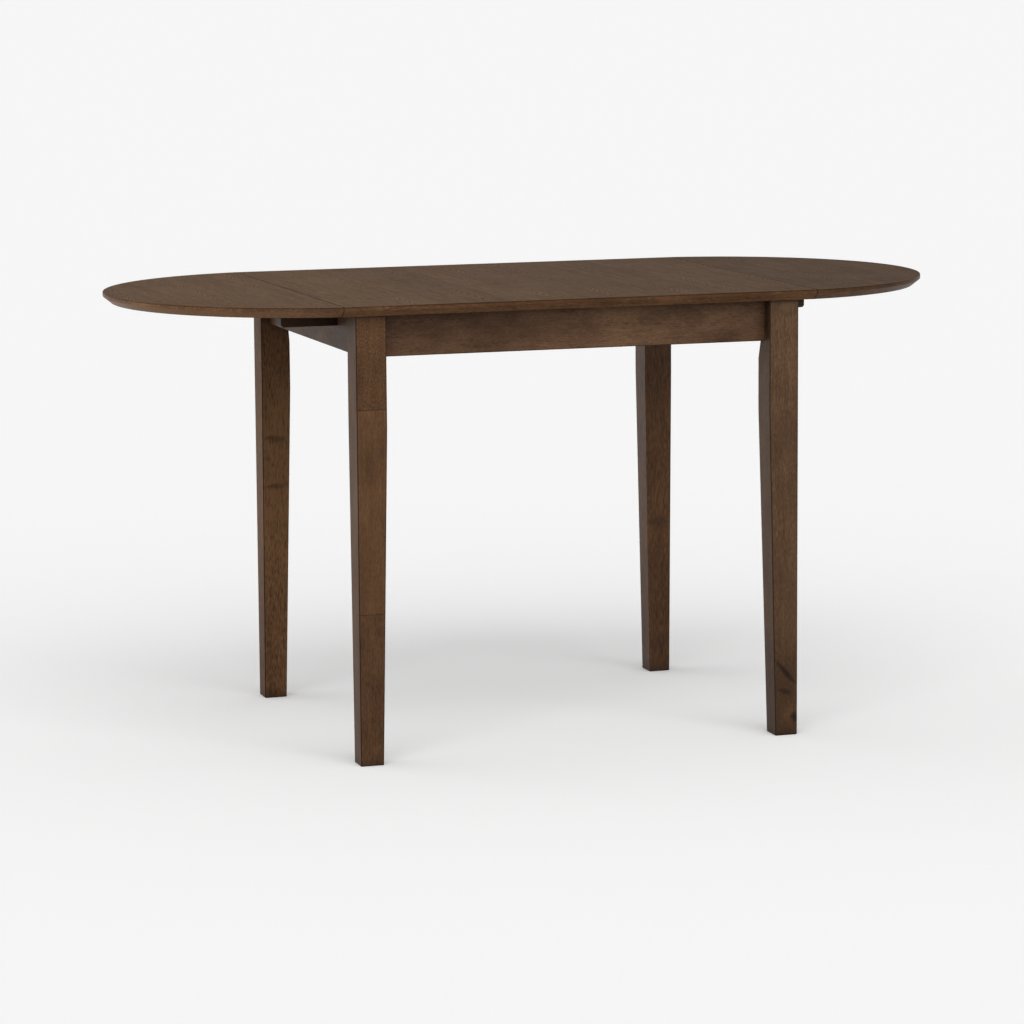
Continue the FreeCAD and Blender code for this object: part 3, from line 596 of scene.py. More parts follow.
PALE_WOOD = WoodTones(dark=(150, 116, 80), middle=(184, 150, 110), light=(206, 176, 138), pore=(118, 86, 56))
KNOT_BROWN = (32, 19, 11)
RUSSET = (104, 70, 42)
PALE_FIGURE = (112, 86, 62)


@dataclass(frozen=True)
class Knot:
    """Knot, slash of turned grain, figured patch and painted shadow patch on an upright face.

    Attributes:
        centre: Its middle, from the leg's lower left front corner, in metres.
        reach: How far it goes along its three axes, in metres.
        tilt: Turn about Y, in degrees.
        strength: How much it covers, from 0 to 1.
        colour: Its display colour.
    """

    RAGGED: ClassVar[Layer] = Layer((1.2, 1.0, 3.0), detail=4.0, roughness=0.65)
    RAGGED_REACH: ClassVar[float] = 1.5
    FADE: ClassVar[Pair] = (0.2, 1.1)

    centre: Triple
    reach: Triple
    tilt: float = 0.0
    strength: float = 0.8
    colour: Triple = KNOT_BROWN

    def mask(self, g: Graph, place: Socket, corner: Vector) -> Socket:
        """Mask of the knot, with a ragged outline.

        Args:
            g: Material's graph.
            place: Where each point is, in metres.
            corner: Leg's lower left front corner, in metres.

        Returns:
            Its strength in the middle, and 0 outside.
        """
        inputs = {
            "Vector": place, "Location": corner + Vector(self.centre), "Scale": self.reach,
            "Rotation": (0.0, math.radians(self.tilt), 0.0)}
        away = g.node("ShaderNodeMapping", inputs, vector_type="TEXTURE").outputs[0]
        length = g.node("ShaderNodeVectorMath", {0: away}, operation="LENGTH").outputs["Value"]
        ragged = g.swing(g.noise(away, self.RAGGED), self.RAGGED_REACH)
        return g.span(g.add(length, ragged), *self.FADE, self.strength, 0.0)


@dataclass(frozen=True)
class GluedLength:
    """One of the lengths that a leg is glued up from.

    Attributes:
        tone: How much lighter it is.
        fleck_length: Length of its flecks, in metres.
        fleck: Strength of its flecks.
    """

    tone: float = 0.0
    fleck_length: float = 0.008
    fleck: float = 0.68


@dataclass(frozen=True)
class HeightShade:
    """Slow change of tone with height: none above high, all of it below low, in metres."""

    low: float
    high: float
    tone: float


@dataclass(frozen=True)
class WoodFinish:
    """Stained and lacquered solid wood.

    Attributes:
        name: Name of the material.
        tones: Colours of the stain.
        run: Direction of the fibres.
        seed: Picks the stretch of wood that a piece shows.
        streak: Strength of the long streaks.
        blotch: Strength of the stain's blotches.
        pore: Strength of the dark pores.
        corner: Strength of the painted shade along the corners.
        crevice_painted_shade: Strength of the painted shade in inside corners and narrow gaps.
        roughness: Roughness of the lacquer.
        specular: Level of the lacquer's reflection.
        joints: Heights of glued joints in a leg, in metres.
        lengths: The glued lengths, from the floor up.
        jointed_depth: How far back from the front the glued lengths reach, in metres.
        behind: The unbroken length behind them.
        shades: Changes of tone with height.
        knots: Knots, figured patches and painted shadow patches.
    """

    LENGTH_SEED_STEP: ClassVar[float] = 1.7
    PORE_COVER: ClassVar[float] = 0.75
    JOINT_LINE: ClassVar[Band] = (0.0003, 0.0014, 0.5, 0.0)
    RELIEF: ClassVar[Pair] = (0.12, 0.0004)

    name: str
    tones: WoodTones
    run: GrainRun
    seed: float
    streak: float = 0.25
    blotch: float = 0.35
    pore: float = 0.45
    corner: float = 0.85
    crevice_painted_shade: float = 0.8
    roughness: float = 0.46
    specular: float = 0.08
    joints: tuple[float, ...] = ()
    lengths: tuple[GluedLength, ...] = (GluedLength(),)
    jointed_depth: float = 0.0
    behind: GluedLength = GluedLength()
    shades: tuple[HeightShade, ...] = ()
    knots: tuple[Knot, ...] = ()

    def material(self, effects: Effects, start: Vector = ORIGIN) -> bpy.types.Material:
        """Builds the node material of this finish.

        Args:
            effects: Shared node groups.
            start: Lower left front corner of a leg, in metres: its knots and jointed depth start there.

        Returns:
            The finished material.
        """
        material, g, shader = new_material(self.name)
        given = g.node("ShaderNodeTexCoord").outputs
        place = given["Object"]
        _, depth, height = g.split(place)
        front = g.math("LESS_THAN", depth, start.y + self.jointed_depth)
        lengths = (*self.lengths, self.behind)
        seeds = [self.seed + self.LENGTH_SEED_STEP * number for number in range(len(lengths))]
        grain = effects.solid_grain.place(g, {
            "Vector": g.turned(place, self.run),
            "Streak": self.streak, "Blotch": self.blotch, "Pore": self.pore,
            "Seed": self.stepped(g, height, front, seeds),
            "Fleck": self.stepped(g, height, front, [length.fleck for length in lengths]),
            "Fleck Length": self.stepped(g, height, front, [length.fleck_length for length in lengths])})
        tone = g.add(grain["Tone"], self.stepped(g, height, front, [length.tone for length in lengths]))
        for shade in self.shades:
            tone = g.add(tone, g.span(height, shade.low, shade.high, shade.tone, 0.0))
        colour = self.tones.stain(g, tone, g.times(grain["Pores"], self.PORE_COVER))
        dark = linear(self.tones.pore)
        for joint in self.joints:
            away = g.math("ABSOLUTE", g.less(height, joint))
            colour = g.blend(g.times(g.span(away, *self.JOINT_LINE), front), colour, dark)
        for knot in self.knots:
            colour = g.blend(knot.mask(g, place, start), colour, linear(knot.colour))
        # The eased corners and chamfers darken here as painted shade.
        if self.corner:
            stain = effects.painted_corner_shade.place(g, {"Normal": given["Normal"], "Strength": self.corner})
            colour = g.blend(stain["Mask"], colour, dark)
        # Inside corners and narrow gaps darken here as painted shade.
        crevice_painted_shade = effects.crevice_shade.place(g, {"Strength": self.crevice_painted_shade})
        wear = effects.satin_wear.place(
            g, {"Vector": place, "Roughness": self.roughness, "Pores": grain["Pores"]})
        g.give(shader, {
            "Base Color": g.blend(crevice_painted_shade["Mask"], colour, dark), "Roughness": wear["Roughness"],
            "Normal": g.bump(grain["Height"], *self.RELIEF), "Specular IOR Level": self.specular})
        return material

    def stepped(self, g: Graph, height: Socket, front: Socket, values: list[float]) -> Value:
        """Number that steps from one value to the next at each glued joint.

        Args:
            g: Material's graph.
            height: Height above the floor.
            front: Number that is 1 where the glued lengths are, and 0 behind them.
            values: One value for each glued length, from the floor up, and then the one behind them.

        Returns:
            The stepped number, or the only value.
        """
        result: Value = values[0]
        for joint, below, above in zip(self.joints, values, values[1:]):
            passed = g.math("GREATER_THAN", height, joint)
            result = g.add(g.times(passed, above - below), result)
        if self.joints:
            result = g.add(g.times(g.less(result, values[-1]), front), values[-1])
        return result


@dataclass(frozen=True)
class BoardFinish:
    """Veneered board: crown-cut veneer above, a stained lipping round the edge, plain backing below.

    Attributes:
        node: Name of the board's node.
        shift: Place of the veneer strips along X, in metres.
        seams: Ends that meet another board.
        tone: How much lighter the veneer is.
        fade: Change of the veneer's tone along X, for each metre.
        rim_tone: How much lighter the lipping is.
        rim_fade: Change of the lipping's tone along X, for each metre.
        bevel_painted_light: How much lighter the undercut bevel is painted than the band above it, as painted
            light on the downward-facing face.
        rim_coat: Weight of the clear lacquer on the lipping.
        strip_width: Width of a veneer strip, in metres.
        roughness: Roughness of the lacquer on the top.
        specular: Level of the lacquer's reflection.
        coat_roughness: Roughness of the clear lacquer on the lipping.
        coat_ior: Index of refraction of that lacquer.
    """

    STRIP_TONE: ClassVar[float] = 0.06
    VENEER_PORE_COVER: ClassVar[float] = 0.8
    PLAIN_PORE_COVER: ClassVar[float] = 0.6
    SEAM_LINE: ClassVar[Band] = (0.0004, 0.0018, 0.7, 0.0)
    FACE_BAND: ClassVar[Band] = (0.0001, 0.0004, 1.0, 0.0)
    BACK_BAND: ClassVar[Band] = (0.0001, 0.0003, 1.0, 0.0)
    ARRIS_BAND: ClassVar[Band] = (0.0014, 0.0026, 0.5, 0.0)
    UNDERCUT: ClassVar[Pair] = (-0.5, -0.2)
    RIM_GRAIN: ClassVar[Inputs] = {"Seed": 2.3, "Fleck": 0.5, "Streak": 0.3, "Blotch": 0.3, "Pore": 0.3}
    BACK_GRAIN: ClassVar[Inputs] = {"Seed": 5.9, "Fleck": 0.4, "Streak": 0.5, "Blotch": 0.3, "Pore": 0.4}
    RELIEF: ClassVar[Pair] = (0.1, 0.0003)

    node: str
    shift: float
    seams: tuple[BoardEnd, ...]
    tone: float
    fade: float = 0.0
    rim_tone: float = 0.0
    rim_fade: float = 0.0
    bevel_painted_light: float = 0.0
    rim_coat: float = 0.0
    strip_width: float = 0.118
    roughness: float = 0.58
    specular: float = 0.016
    coat_roughness: float = 0.25
    coat_ior: float = 1.25

    def material(self, effects: Effects) -> bpy.types.Material:
        """Builds the node material of this finish.

        Args:
            effects: Shared node groups.

        Returns:
            The finished material.
        """
        low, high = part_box(self.node)
        material, g, shader = new_material(f"walnut_board_{self.node}")
        place = g.node("ShaderNodeTexCoord").outputs["Object"]
        across, _, height = g.split(place)
        strips = g.vector("ADD", place, (self.shift, 0.0, 0.0))
        veneer = effects.crown_veneer.place(g, {"Vector": strips, "Strip Width": self.strip_width})
        depth = g.less(high.z, height)
        on_top = g.span(depth, *self.FACE_BAND)
        arris = g.span(depth, *self.ARRIS_BAND)
        below = g.span(g.less(height, low.z), *self.BACK_BAND)
        rim = g.blend(arris, self.rim(g, effects, place, across), linear(WALNUT_EDGE.pore))
        colour = g.blend(on_top, rim, self.face(g, veneer, across))
        colour = g.blend(below, colour, self.back(g, effects, place))
        pores = g.times(veneer["Pores"], on_top)
        wear = effects.satin_wear.place(g, {"Vector": place, "Roughness": self.roughness, "Pores": pores})
        g.give(shader, {
            "Base Color": colour, "Roughness": wear["Roughness"], "Specular IOR Level": self.specular,
            "Normal": g.bump(g.times(veneer["Height"], on_top), *self.RELIEF)})
        if self.rim_coat:
            coat = g.times(g.less(1.0, g.math("MAXIMUM", on_top, below)), self.rim_coat)
            g.give(shader, {
                "Coat Weight": coat, "Coat Roughness": self.coat_roughness, "Coat IOR": self.coat_ior})
        return material

    def face(self, g: Graph, veneer: Outputs, across: Socket) -> Socket:
        """Colours the veneer, with a dark line along each seam.

        Args:
            g: Material's graph.
            veneer: Outputs of the veneer's figure.
            across: Place along X, in metres.

        Returns:
            The colour of the top.
        """
        strip = g.swing(veneer["Strip"], self.STRIP_TONE)
        tone = g.add(veneer["Tone"], strip, g.times(across, self.fade), self.tone)
        colour = WALNUT_TOP.stain(g, tone, g.times(veneer["Pores"], self.VENEER_PORE_COVER))
        for end in self.seams:
            away = g.math("ABSOLUTE", g.less(across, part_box(self.node)[end.value].x))
            colour = g.blend(g.span(away, *self.SEAM_LINE), colour, linear(WALNUT_TOP.pore))
        return colour

    def rim(self, g: Graph, effects: Effects, place: Socket, across: Socket) -> Socket:
        """Colours the lipping, with painted light lightening its undercut bevel.

        Args:
            g: Material's graph.
            effects: Shared node groups.
            place: Where each point is, in metres.
            across: Place along X, in metres.

        Returns:
            The colour of the edge.
        """
        run = {"Vector": g.turned(place, GrainRun.ALONG_X)}
        grain = effects.solid_grain.place(g, {**run, **self.RIM_GRAIN})
        lean = g.split(g.node("ShaderNodeTexCoord").outputs["Normal"])[2]
        # The downward-facing undercut bevel is lightened here as painted light.
        bevel = g.span(lean, *self.UNDERCUT, self.bevel_painted_light, 0.0)
        tone = g.add(grain["Tone"], g.times(across, self.rim_fade), self.rim_tone, bevel)
        return WALNUT_EDGE.stain(g, tone, g.times(grain["Pores"], self.PLAIN_PORE_COVER))

    def back(self, g: Graph, effects: Effects, place: Socket) -> Socket:
        """Colours the backing.

        Args:
            g: Material's graph.
            effects: Shared node groups.
            place: Where each point is, in metres.

        Returns:
            The colour of the underside.
        """
        run = {"Vector": g.turned(place, GrainRun.ALONG_Y)}
        grain = effects.solid_grain.place(g, {**run, **self.BACK_GRAIN})
        return BACKING.stain(g, grain["Tone"], g.times(grain["Pores"], self.PLAIN_PORE_COVER))


@dataclass(frozen=True)
class MetalFinish:
    """Plated steel with rub marks.

    Attributes:
        name: Name of the material.
        dull: Display colour of the duller patches.
        bright: Display colour of the brighter patches.
        roughness: Mean roughness.
    """

    POSITIONS: ClassVar[Pair] = (0.3, 0.7)
    EDGE_STRENGTH: ClassVar[float] = 0.5
    RELIEF: ClassVar[Pair] = (0.08, 0.0001)

    name: str
    dull: Triple
    bright: Triple
    roughness: float

    def material(self, effects: Effects) -> bpy.types.Material:
        """Builds the node material of this finish.

        Args:
            effects: Shared node groups.

        Returns:
            The finished material.
        """
        material, g, shader = new_material(self.name)
        place = g.node("ShaderNodeTexCoord").outputs["Object"]
        scuff = effects.metal_scuff.place(g, {"Vector": place, "Roughness": self.roughness})
        bright = linear(self.bright)
        colour = g.ramp(scuff["Tone"], list(zip(self.POSITIONS, (linear(self.dull), bright))))
        edge = effects.edge_shade.place(g, {"Strength": self.EDGE_STRENGTH})
        g.give(shader, {
            "Base Color": g.blend(edge["Mask"], colour, bright), "Roughness": scuff["Roughness"],
            "Normal": g.bump(scuff["Height"], *self.RELIEF), "Metallic": 1.0})
        return material


def dress(node: str, material: bpy.types.Material) -> None:
    """Gives a CAD node its finish.

    Args:
        node: Name of the node.
        material: Finish to show.
    """
    mesh = frame["nodes"][node].data
    mesh.materials.clear()
    mesh.materials.append(material)
    LOG.info("%s dressed as %s", node, material.name)


@dataclass
class TableTop:
    """Centre board and two leaves.

    Attributes:
        boards: Finish of each board.
    """

    boards: tuple[BoardFinish, ...] = (
        BoardFinish(
            "centre_top", shift=0.0, seams=(BoardEnd.LEFT, BoardEnd.RIGHT), tone=0.02, fade=-0.20,
            rim_tone=-0.03, bevel_painted_light=0.14),
        BoardFinish(
            "left_leaf", shift=0.03, seams=(BoardEnd.RIGHT,), tone=0.09,
            rim_tone=-0.47, rim_fade=-0.9, bevel_painted_light=0.20, rim_coat=0.3),
        BoardFinish(
            "right_leaf", shift=0.055, seams=(BoardEnd.LEFT,), tone=-0.10,
            rim_tone=-0.12, bevel_painted_light=0.15, rim_coat=0.25))

    def dress(self, effects: Effects) -> None:
        """Gives every board its veneer, lipping and backing."""
        for board in self.boards:
            dress(board.node, board.material(effects))


@dataclass
class UnderFrame:
    """Legs, aprons, guide rails, corner blocks and dowels.

    Attributes:
        legs: Finish of each leg.
        apron_seeds: Stretch of wood that each apron shows.
        rail: Finish of the guide rails.
        block: Finish of the corner blocks.
        dowel: Finish of the rails' dowels.
    """

    legs: dict[str, WoodFinish] = field(default_factory=lambda: {
        "front_left_leg": WoodFinish(
            "walnut_front_left_leg", WALNUT, GrainRun.UPRIGHT, seed=10.0, pore=0.35,
            joints=(0.249, 0.581), jointed_depth=0.0145,
            lengths=(GluedLength(tone=-0.10, fleck_length=0.009, fleck=0.65),
                     GluedLength(tone=0.06, fleck_length=0.007, fleck=0.45),
                     GluedLength(tone=0.02, fleck_length=0.0035, fleck=1.0)),
            behind=GluedLength(tone=0.03, fleck_length=0.007, fleck=0.5)),
        "front_right_leg": WoodFinish(
            "walnut_front_right_leg", WALNUT_OLIVE, GrainRun.UPRIGHT, seed=11.9, pore=0.4, specular=0.1,
            lengths=(GluedLength(fleck_length=0.007, fleck=0.65),),
            shades=(HeightShade(low=0.08, high=0.22, tone=-0.24),),
            knots=(Knot((0.0385, 0.0, 0.032), (0.016, 0.03, 0.022), strength=0.3, colour=RUSSET),
                   Knot((0.0455, 0.0, 0.030), (0.010, 0.03, 0.014), strength=0.95),
                   Knot((0.029, 0.0, 0.108), (0.038, 0.03, 0.006), tilt=48.0, strength=1.0),
                   Knot((0.0285, 0.0, 0.075), (0.016, 0.03, 0.006), tilt=15.0, strength=0.8),
                   Knot((0.0325, 0.0, 0.722), (0.024, 0.03, 0.010), tilt=-8.0, strength=0.45,
                        colour=PALE_FIGURE),
                   # This patch is painted shadow in the recess of the leg's left face beside the apron, not a
                   # knot.
                   Knot((0.0015, 0.0125, 0.690), (0.008, 0.012, 0.045), strength=0.7))),
        "rear_left_leg": WoodFinish(
            "walnut_rear_left_leg", WALNUT, GrainRun.UPRIGHT, seed=13.8, pore=0.7, specular=0.05,
            lengths=(GluedLength(tone=0.12, fleck_length=0.010, fleck=1.0),),
            shades=(HeightShade(low=0.47, high=0.60, tone=0.20),
                    HeightShade(low=0.08, high=0.38, tone=-0.28)),
            knots=(Knot((0.023, 0.003, 0.462), (0.026, 0.03, 0.009), tilt=6.0, strength=0.5),
                   Knot((0.023, 0.003, 0.378), (0.026, 0.03, 0.007), tilt=-4.0, strength=0.5))),
        "rear_right_leg": WoodFinish(
            "walnut_rear_right_leg", WALNUT_WARM, GrainRun.UPRIGHT, seed=15.7, pore=0.7, specular=0.15,
            lengths=(GluedLength(tone=0.03, fleck_length=0.012, fleck=0.95),),
            shades=(HeightShade(low=0.14, high=0.26, tone=-0.13),),
            knots=(Knot((0.028, 0.003, 0.275), (0.026, 0.03, 0.016), tilt=3.0, strength=0.4),))})
    apron_seeds: dict[str, float] = field(default_factory=lambda: {
        "front_apron": 1.0, "rear_apron": 2.0, "left_end_apron": 3.0, "right_end_apron": 4.0})
    rail: WoodFinish = WoodFinish(
        "inner_rail", INNER_WOOD, GrainRun.ALONG_Y, seed=6.0, corner=0.3, roughness=0.62)
    block: WoodFinish = WoodFinish(
        "inner_block", INNER_WOOD, GrainRun.ALONG_X, seed=7.0, corner=0.0, roughness=0.62)
    dowel: WoodFinish = WoodFinish(
        "pale_dowel", PALE_WOOD, GrainRun.ALONG_Y, seed=9.0, corner=0.0, roughness=0.6)

    def dress(self, effects: Effects) -> None:
        """Gives every wooden piece of the frame its finish.

        Args:
            effects: Shared node groups.
        """
        for leg, finish in self.legs.items():
            dress(leg, finish.material(effects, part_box(leg)[0]))
        for apron, seed in self.apron_seeds.items():
            run = GrainRun.ALONG_Y if "end" in apron else GrainRun.ALONG_X
            finish = WoodFinish(
                f"walnut_{apron}", WALNUT_APRON, run, seed, blotch=0.65, crevice_painted_shade=0.1,
                lengths=(GluedLength(fleck_length=0.006, fleck=0.55),))
            dress(apron, finish.material(effects))
        rail = self.rail.material(effects)
        block = self.block.material(effects)
        for side in SIDES:
            dress(f"{side}_guide_rail", rail)
            for end in ENDS:
                dress(f"{end}_{side}_corner_block", block)
        dress("rail_dowels", self.dowel.material(effects))


@dataclass
class SupportBars:
    """Slide-out bars with their stop pins, and the bearing blocks under the leaves.

    Attributes:
        bars: Finish of the bars on each side: the left ones darkened as painted shade under the leaf, the
            right ones lighter as painted light.
        block: Finish of the bearing blocks, darkened as painted shade.
        pin: Finish of the stop pins.
    """

    bars: dict[str, WoodFinish] = field(default_factory=lambda: {
        # The left bars are darkened as painted shade under the leaf, and the right bars take a lighter stain
        # as painted light.
        "left": WoodFinish("walnut_left_bars_painted_shade", WALNUT_BAR_PAINTED_SHADE, GrainRun.ALONG_X, seed=21.0),
        "right": WoodFinish("walnut_right_bars_painted_light", WALNUT_OLIVE, GrainRun.ALONG_X, seed=21.0)})
    # The bearing blocks take the bar stain darkened as painted shade.
    block: WoodFinish = WoodFinish("walnut_block_painted_shade", WALNUT_BAR_PAINTED_SHADE, GrainRun.ALONG_Y, seed=23.0, corner=0.0)
    pin: WoodFinish = WoodFinish(
        "pale_pin", PALE_WOOD, GrainRun.UPRIGHT, seed=8.0, corner=0.0, roughness=0.6)

    def dress(self, effects: Effects) -> None:
        """Gives the bars, pins and blocks their finishes.

        Args:
            effects: Shared node groups.
        """
        block = self.block.material(effects)
        pin = self.pin.material(effects)
        for side, finish in self.bars.items():
            bar = finish.material(effects)
            for end in ENDS:
                dress(f"{end}_{side}_support_bar", bar)
                dress(f"{end}_{side}_bearing_block", block)
                dress(f"{end}_{side}_stop_pin", pin)


@dataclass(frozen=True)
class Spindle:
    """Axis and outline of one turned fastener, found in the frame.

    Attributes:
        start: Middle of its first end, in metres.
        axis: Unit direction from its first end to its last.
        length: Distance between the ends, in metres.
        neck: Distance from the first end to the next change of radius, in metres.
        first_radius: Radius at the first end, in metres.
        last_radius: Radius at the last end, in metres.
    """

    start: Vector
    axis: Vector
    length: float
    neck: float
    first_radius: float
    last_radius: float

    def lay(self, turn: float = 0.0) -> Matrix:
        """Matrix that takes local Z to the axis, after a turn about it in radians."""
        turned = self.axis.to_track_quat("Z", "Y").to_matrix().to_4x4()
        return Matrix.Translation(self.start) @ turned @ Matrix.Rotation(turn, 4, "Z")

    def inward(self) -> "Spindle":
        """Turns the spindle to the middle of the table.

        Returns:
            The same spindle with its last end nearer to the middle.
        """
        last = self.start + self.axis * self.length
        if last.xy.length < self.start.xy.length:
            return self
        return Spindle(last, -self.axis, self.length, self.neck, self.last_radius, self.first_radius)


def loose_solids(node: str) -> list[list[Vector]]:
    """Takes a CAD node apart into its solids.

    Args:
        node: Name of the node.

    Returns:
        The corner points of each solid.
    """
    shape = bmesh.new()
    shape.from_mesh(frame["nodes"][node].data)
    bmesh.ops.remove_doubles(shape, verts=shape.verts, dist=SAME_PLACE)
    # Points that edges link, one to the next, belong to the same solid.
    left = dict.fromkeys(shape.verts)
    solids = []
    while left:
        ahead = [left.popitem()[0]]
        points = []
        while ahead:
            vert = ahead.pop()
            points.append(vert.co.copy())
            for edge in vert.link_edges:
                other = edge.other_vert(vert)
                if other in left:
                    del left[other]
                    ahead.append(other)
        solids.append(points)
    shape.free()
    return solids


def find_spindle(points: list[Vector]) -> Spindle:
    """Finds the axis of a turned solid whose corner points lie on rings round it.

    Args:
        points: Corner points of the solid.

    Returns:
        The spindle, which starts at the end with more points.
    """
    middle = sum(points, Vector()) / len(points)
    # The points beyond half the way to the farthest one are at the last end, and their mean is on the axis.
    rough = max((point - middle for point in points), key=lambda way: way.length)
    last_ring = [point for point in points if (point - middle).dot(rough) > rough.length_squared / 2]
    axis = (sum(last_ring, Vector()) / len(last_ring) - middle).normalized()
    start = middle + axis * min((point - middle).dot(axis) for point in points)
    along = [(point - start).dot(axis) for point in points]
    away = [(point - start - axis * step).length for point, step in zip(points, along)]
    length = max(along)
    return Spindle(
        start=start, axis=axis, length=length, neck=min(step for step in along if step > SAME_RING),
        first_radius=max(radius for radius, step in zip(away, along) if step < SAME_RING),
        last_radius=max(radius for radius, step in zip(away, along) if step > length - SAME_RING))


def turn_profile(shape: bmesh.types.BMesh, profile: Profile, steps: int, closed: bool = False) -> None:
    """Turns a profile of radius and height about Z.

    Args:
        shape: Mesh that takes the turned surface.
        profile: Radius and height of each corner, in metres.
        steps: Number of facets round the axis.
        closed: Whether the last corner joins the first.
    """
    verts = [shape.verts.new((radius, 0.0, height)) for radius, height in profile]
    edges = [shape.edges.new(pair) for pair in zip(verts, verts[1:])]
    if closed:
        edges.append(shape.edges.new((verts[-1], verts[0])))
    bmesh.ops.spin(
        shape, geom=verts + edges, cent=(0.0, 0.0, 0.0), axis=(0.0, 0.0, 1.0), angle=math.tau, steps=steps,
        use_merge=True)
    bmesh.ops.remove_doubles(shape, verts=shape.verts, dist=SAME_PLACE)


def thread(start: float, stop: float, pitch: float, crest: float, root: float) -> Profile:
    """Corners of the thread grooves along a shank.

    Args:
        start: Height at which the grooves start, in metres.
        stop: Height that they stay below, in metres.
        pitch: Distance from groove to groove, in metres.
        crest: Radius between the grooves, in metres.
        root: Radius in the grooves, in metres.

    Returns:
        Radius and height of each corner.
    """
    turns = int((stop - start) / pitch)
    grooves = []
    for number in range(turns):
        base = start + number * pitch
        grooves += [(crest, base), (root, base + pitch / 2)]
    return grooves + [(crest, start + turns * pitch)]


@dataclass(frozen=True)
class CrossHeadScrew:
    """Countersunk wood screw, in shares of the solid that it stands for.

    Attributes:
        facets: Facets round the axis.
        recess_share: Reach of the cross recess, of the head's radius.
        arm_share: Width of the recess's arms, of its reach.
        recess_depth_share: Depth of the recess, of the head's height.
        recess_floor_share: Reach of the recess's floor, of its mouth.
        plain_share: Plain stretch under the head, of the length.
        point_share: Pointed end, of the length.
        root_share: Radius in the thread, of the shank's.
    """

    CROSS_FIELDS: ClassVar[int] = 3

    facets: int = 18
    recess_share: float = 0.62
    arm_share: float = 0.27
    recess_depth_share: float = 0.85
    recess_floor_share: float = 0.55
    plain_share: float = 0.22
    point_share: float = 0.16
    root_share: float = 0.72

    def shape(self, spindle: Spindle) -> bmesh.types.BMesh:
        """Models one screw with its head's face at the origin and its point up Z.

        Args:
            spindle: Outline of the solid.

        Returns:
            The closed mesh.
        """
        made = bmesh.new()
        cross = self.cut_cross(made, spindle.first_radius * self.recess_share)
        shank = spindle.last_radius
        grooves = thread(
            spindle.neck + spindle.length * self.plain_share, spindle.length * (1.0 - self.point_share),
            pitch=shank, crest=shank, root=shank * self.root_share)
        outline = [(spindle.first_radius, 0.0), (shank, spindle.neck), *grooves, (0.0, spindle.length)]
        turn_profile(made, outline, self.facets)
        # The head's face closes the gap from the cross to the rim, and the cross is then sunk into it.
        bmesh.ops.bridge_loops(made, edges=[edge for edge in made.edges if edge.is_boundary])
        sunk = bmesh.ops.extrude_face_region(made, geom=cross)["geom"]
        bmesh.ops.delete(made, geom=cross, context="FACES")
        floor = [item for item in sunk if isinstance(item, bmesh.types.BMVert)]
        narrow = self.recess_floor_share
        bmesh.ops.scale(made, vec=(narrow, narrow, 1.0), verts=floor)
        bmesh.ops.translate(made, vec=(0.0, 0.0, spindle.neck * self.recess_depth_share), verts=floor)
        bmesh.ops.recalc_face_normals(made, faces=made.faces)
        return made

    def cut_cross(self, shape: bmesh.types.BMesh, reach: float) -> list[bmesh.types.BMFace]:
        """Lays the cross of the recess flat on the origin.

        Args:
            shape: Mesh that takes it.
            reach: Distance from the middle to the end of an arm, in metres.

        Returns:
            The faces of the cross.
        """
        fields = self.CROSS_FIELDS
        bmesh.ops.create_grid(shape, x_segments=fields, y_segments=fields, size=reach)
        inner = reach / 2
        middles = [(face, face.calc_center_median()) for face in shape.faces]
        corner = [face for face, middle in middles if min(abs(middle.x), abs(middle.y)) > inner]
        bmesh.ops.delete(shape, geom=corner, context="FACES")
        for axis in range(2):
            slim = Vector((1.0, 1.0, 1.0))
            slim[axis] = fields * self.arm_share
            sides = [vert for vert in shape.verts if abs(vert.co[axis]) < inner]
            bmesh.ops.scale(shape, vec=slim, verts=sides)
        return list(shape.faces)


@dataclass(frozen=True)
class HangerBolt:
    """Stud with a wood thread in the leg and a machine thread for the nut.

    Attributes:
        facets: Facets round the axis.
        wood_share: Stretch of wood thread, of the length.
        point_share: Pointed end, of the length.
        wood_pitch: Pitch of the wood thread, in metres.
        machine_pitch: Pitch of the machine thread, in metres.
        plain: Plain stretch between the threads, in metres.
        end_chamfer: Chamfer of the nut's end, in metres.
        wood_root_share: Radius in the wood thread, of the stud's.
        machine_root_share: Radius in the machine thread, of the stud's.
    """

    facets: int = 24
    wood_share: float = 0.36
    point_share: float = 0.06
    wood_pitch: float = 0.0032
    machine_pitch: float = 0.00125
    plain: float = 0.004
    end_chamfer: float = 0.0008
    wood_root_share: float = 0.7
    machine_root_share: float = 0.84

    def shape(self, spindle: Spindle) -> bmesh.types.BMesh:
        """Models one stud with its pointed end at the origin and its nut's end up Z.

        Args:
            spindle: Outline of the solid.

        Returns:
            The closed mesh.
        """
        made = bmesh.new()
        radius = spindle.last_radius
        wood_root = radius * self.wood_root_share
        machine_root = radius * self.machine_root_share
        wood_end = spindle.length * self.wood_share
        tail = spindle.length - self.end_chamfer
        wood = thread(spindle.length * self.point_share, wood_end, self.wood_pitch, radius, wood_root)
        machine = thread(wood_end + self.plain, tail, self.machine_pitch, radius, machine_root)
        end = [(radius, tail), (radius - self.end_chamfer, spindle.length), (0.0, spindle.length)]
        turn_profile(made, [(0.0, 0.0), *wood, (radius, wood_end), *machine, *end], self.facets)
        bmesh.ops.recalc_face_normals(made, faces=made.faces)
        return made


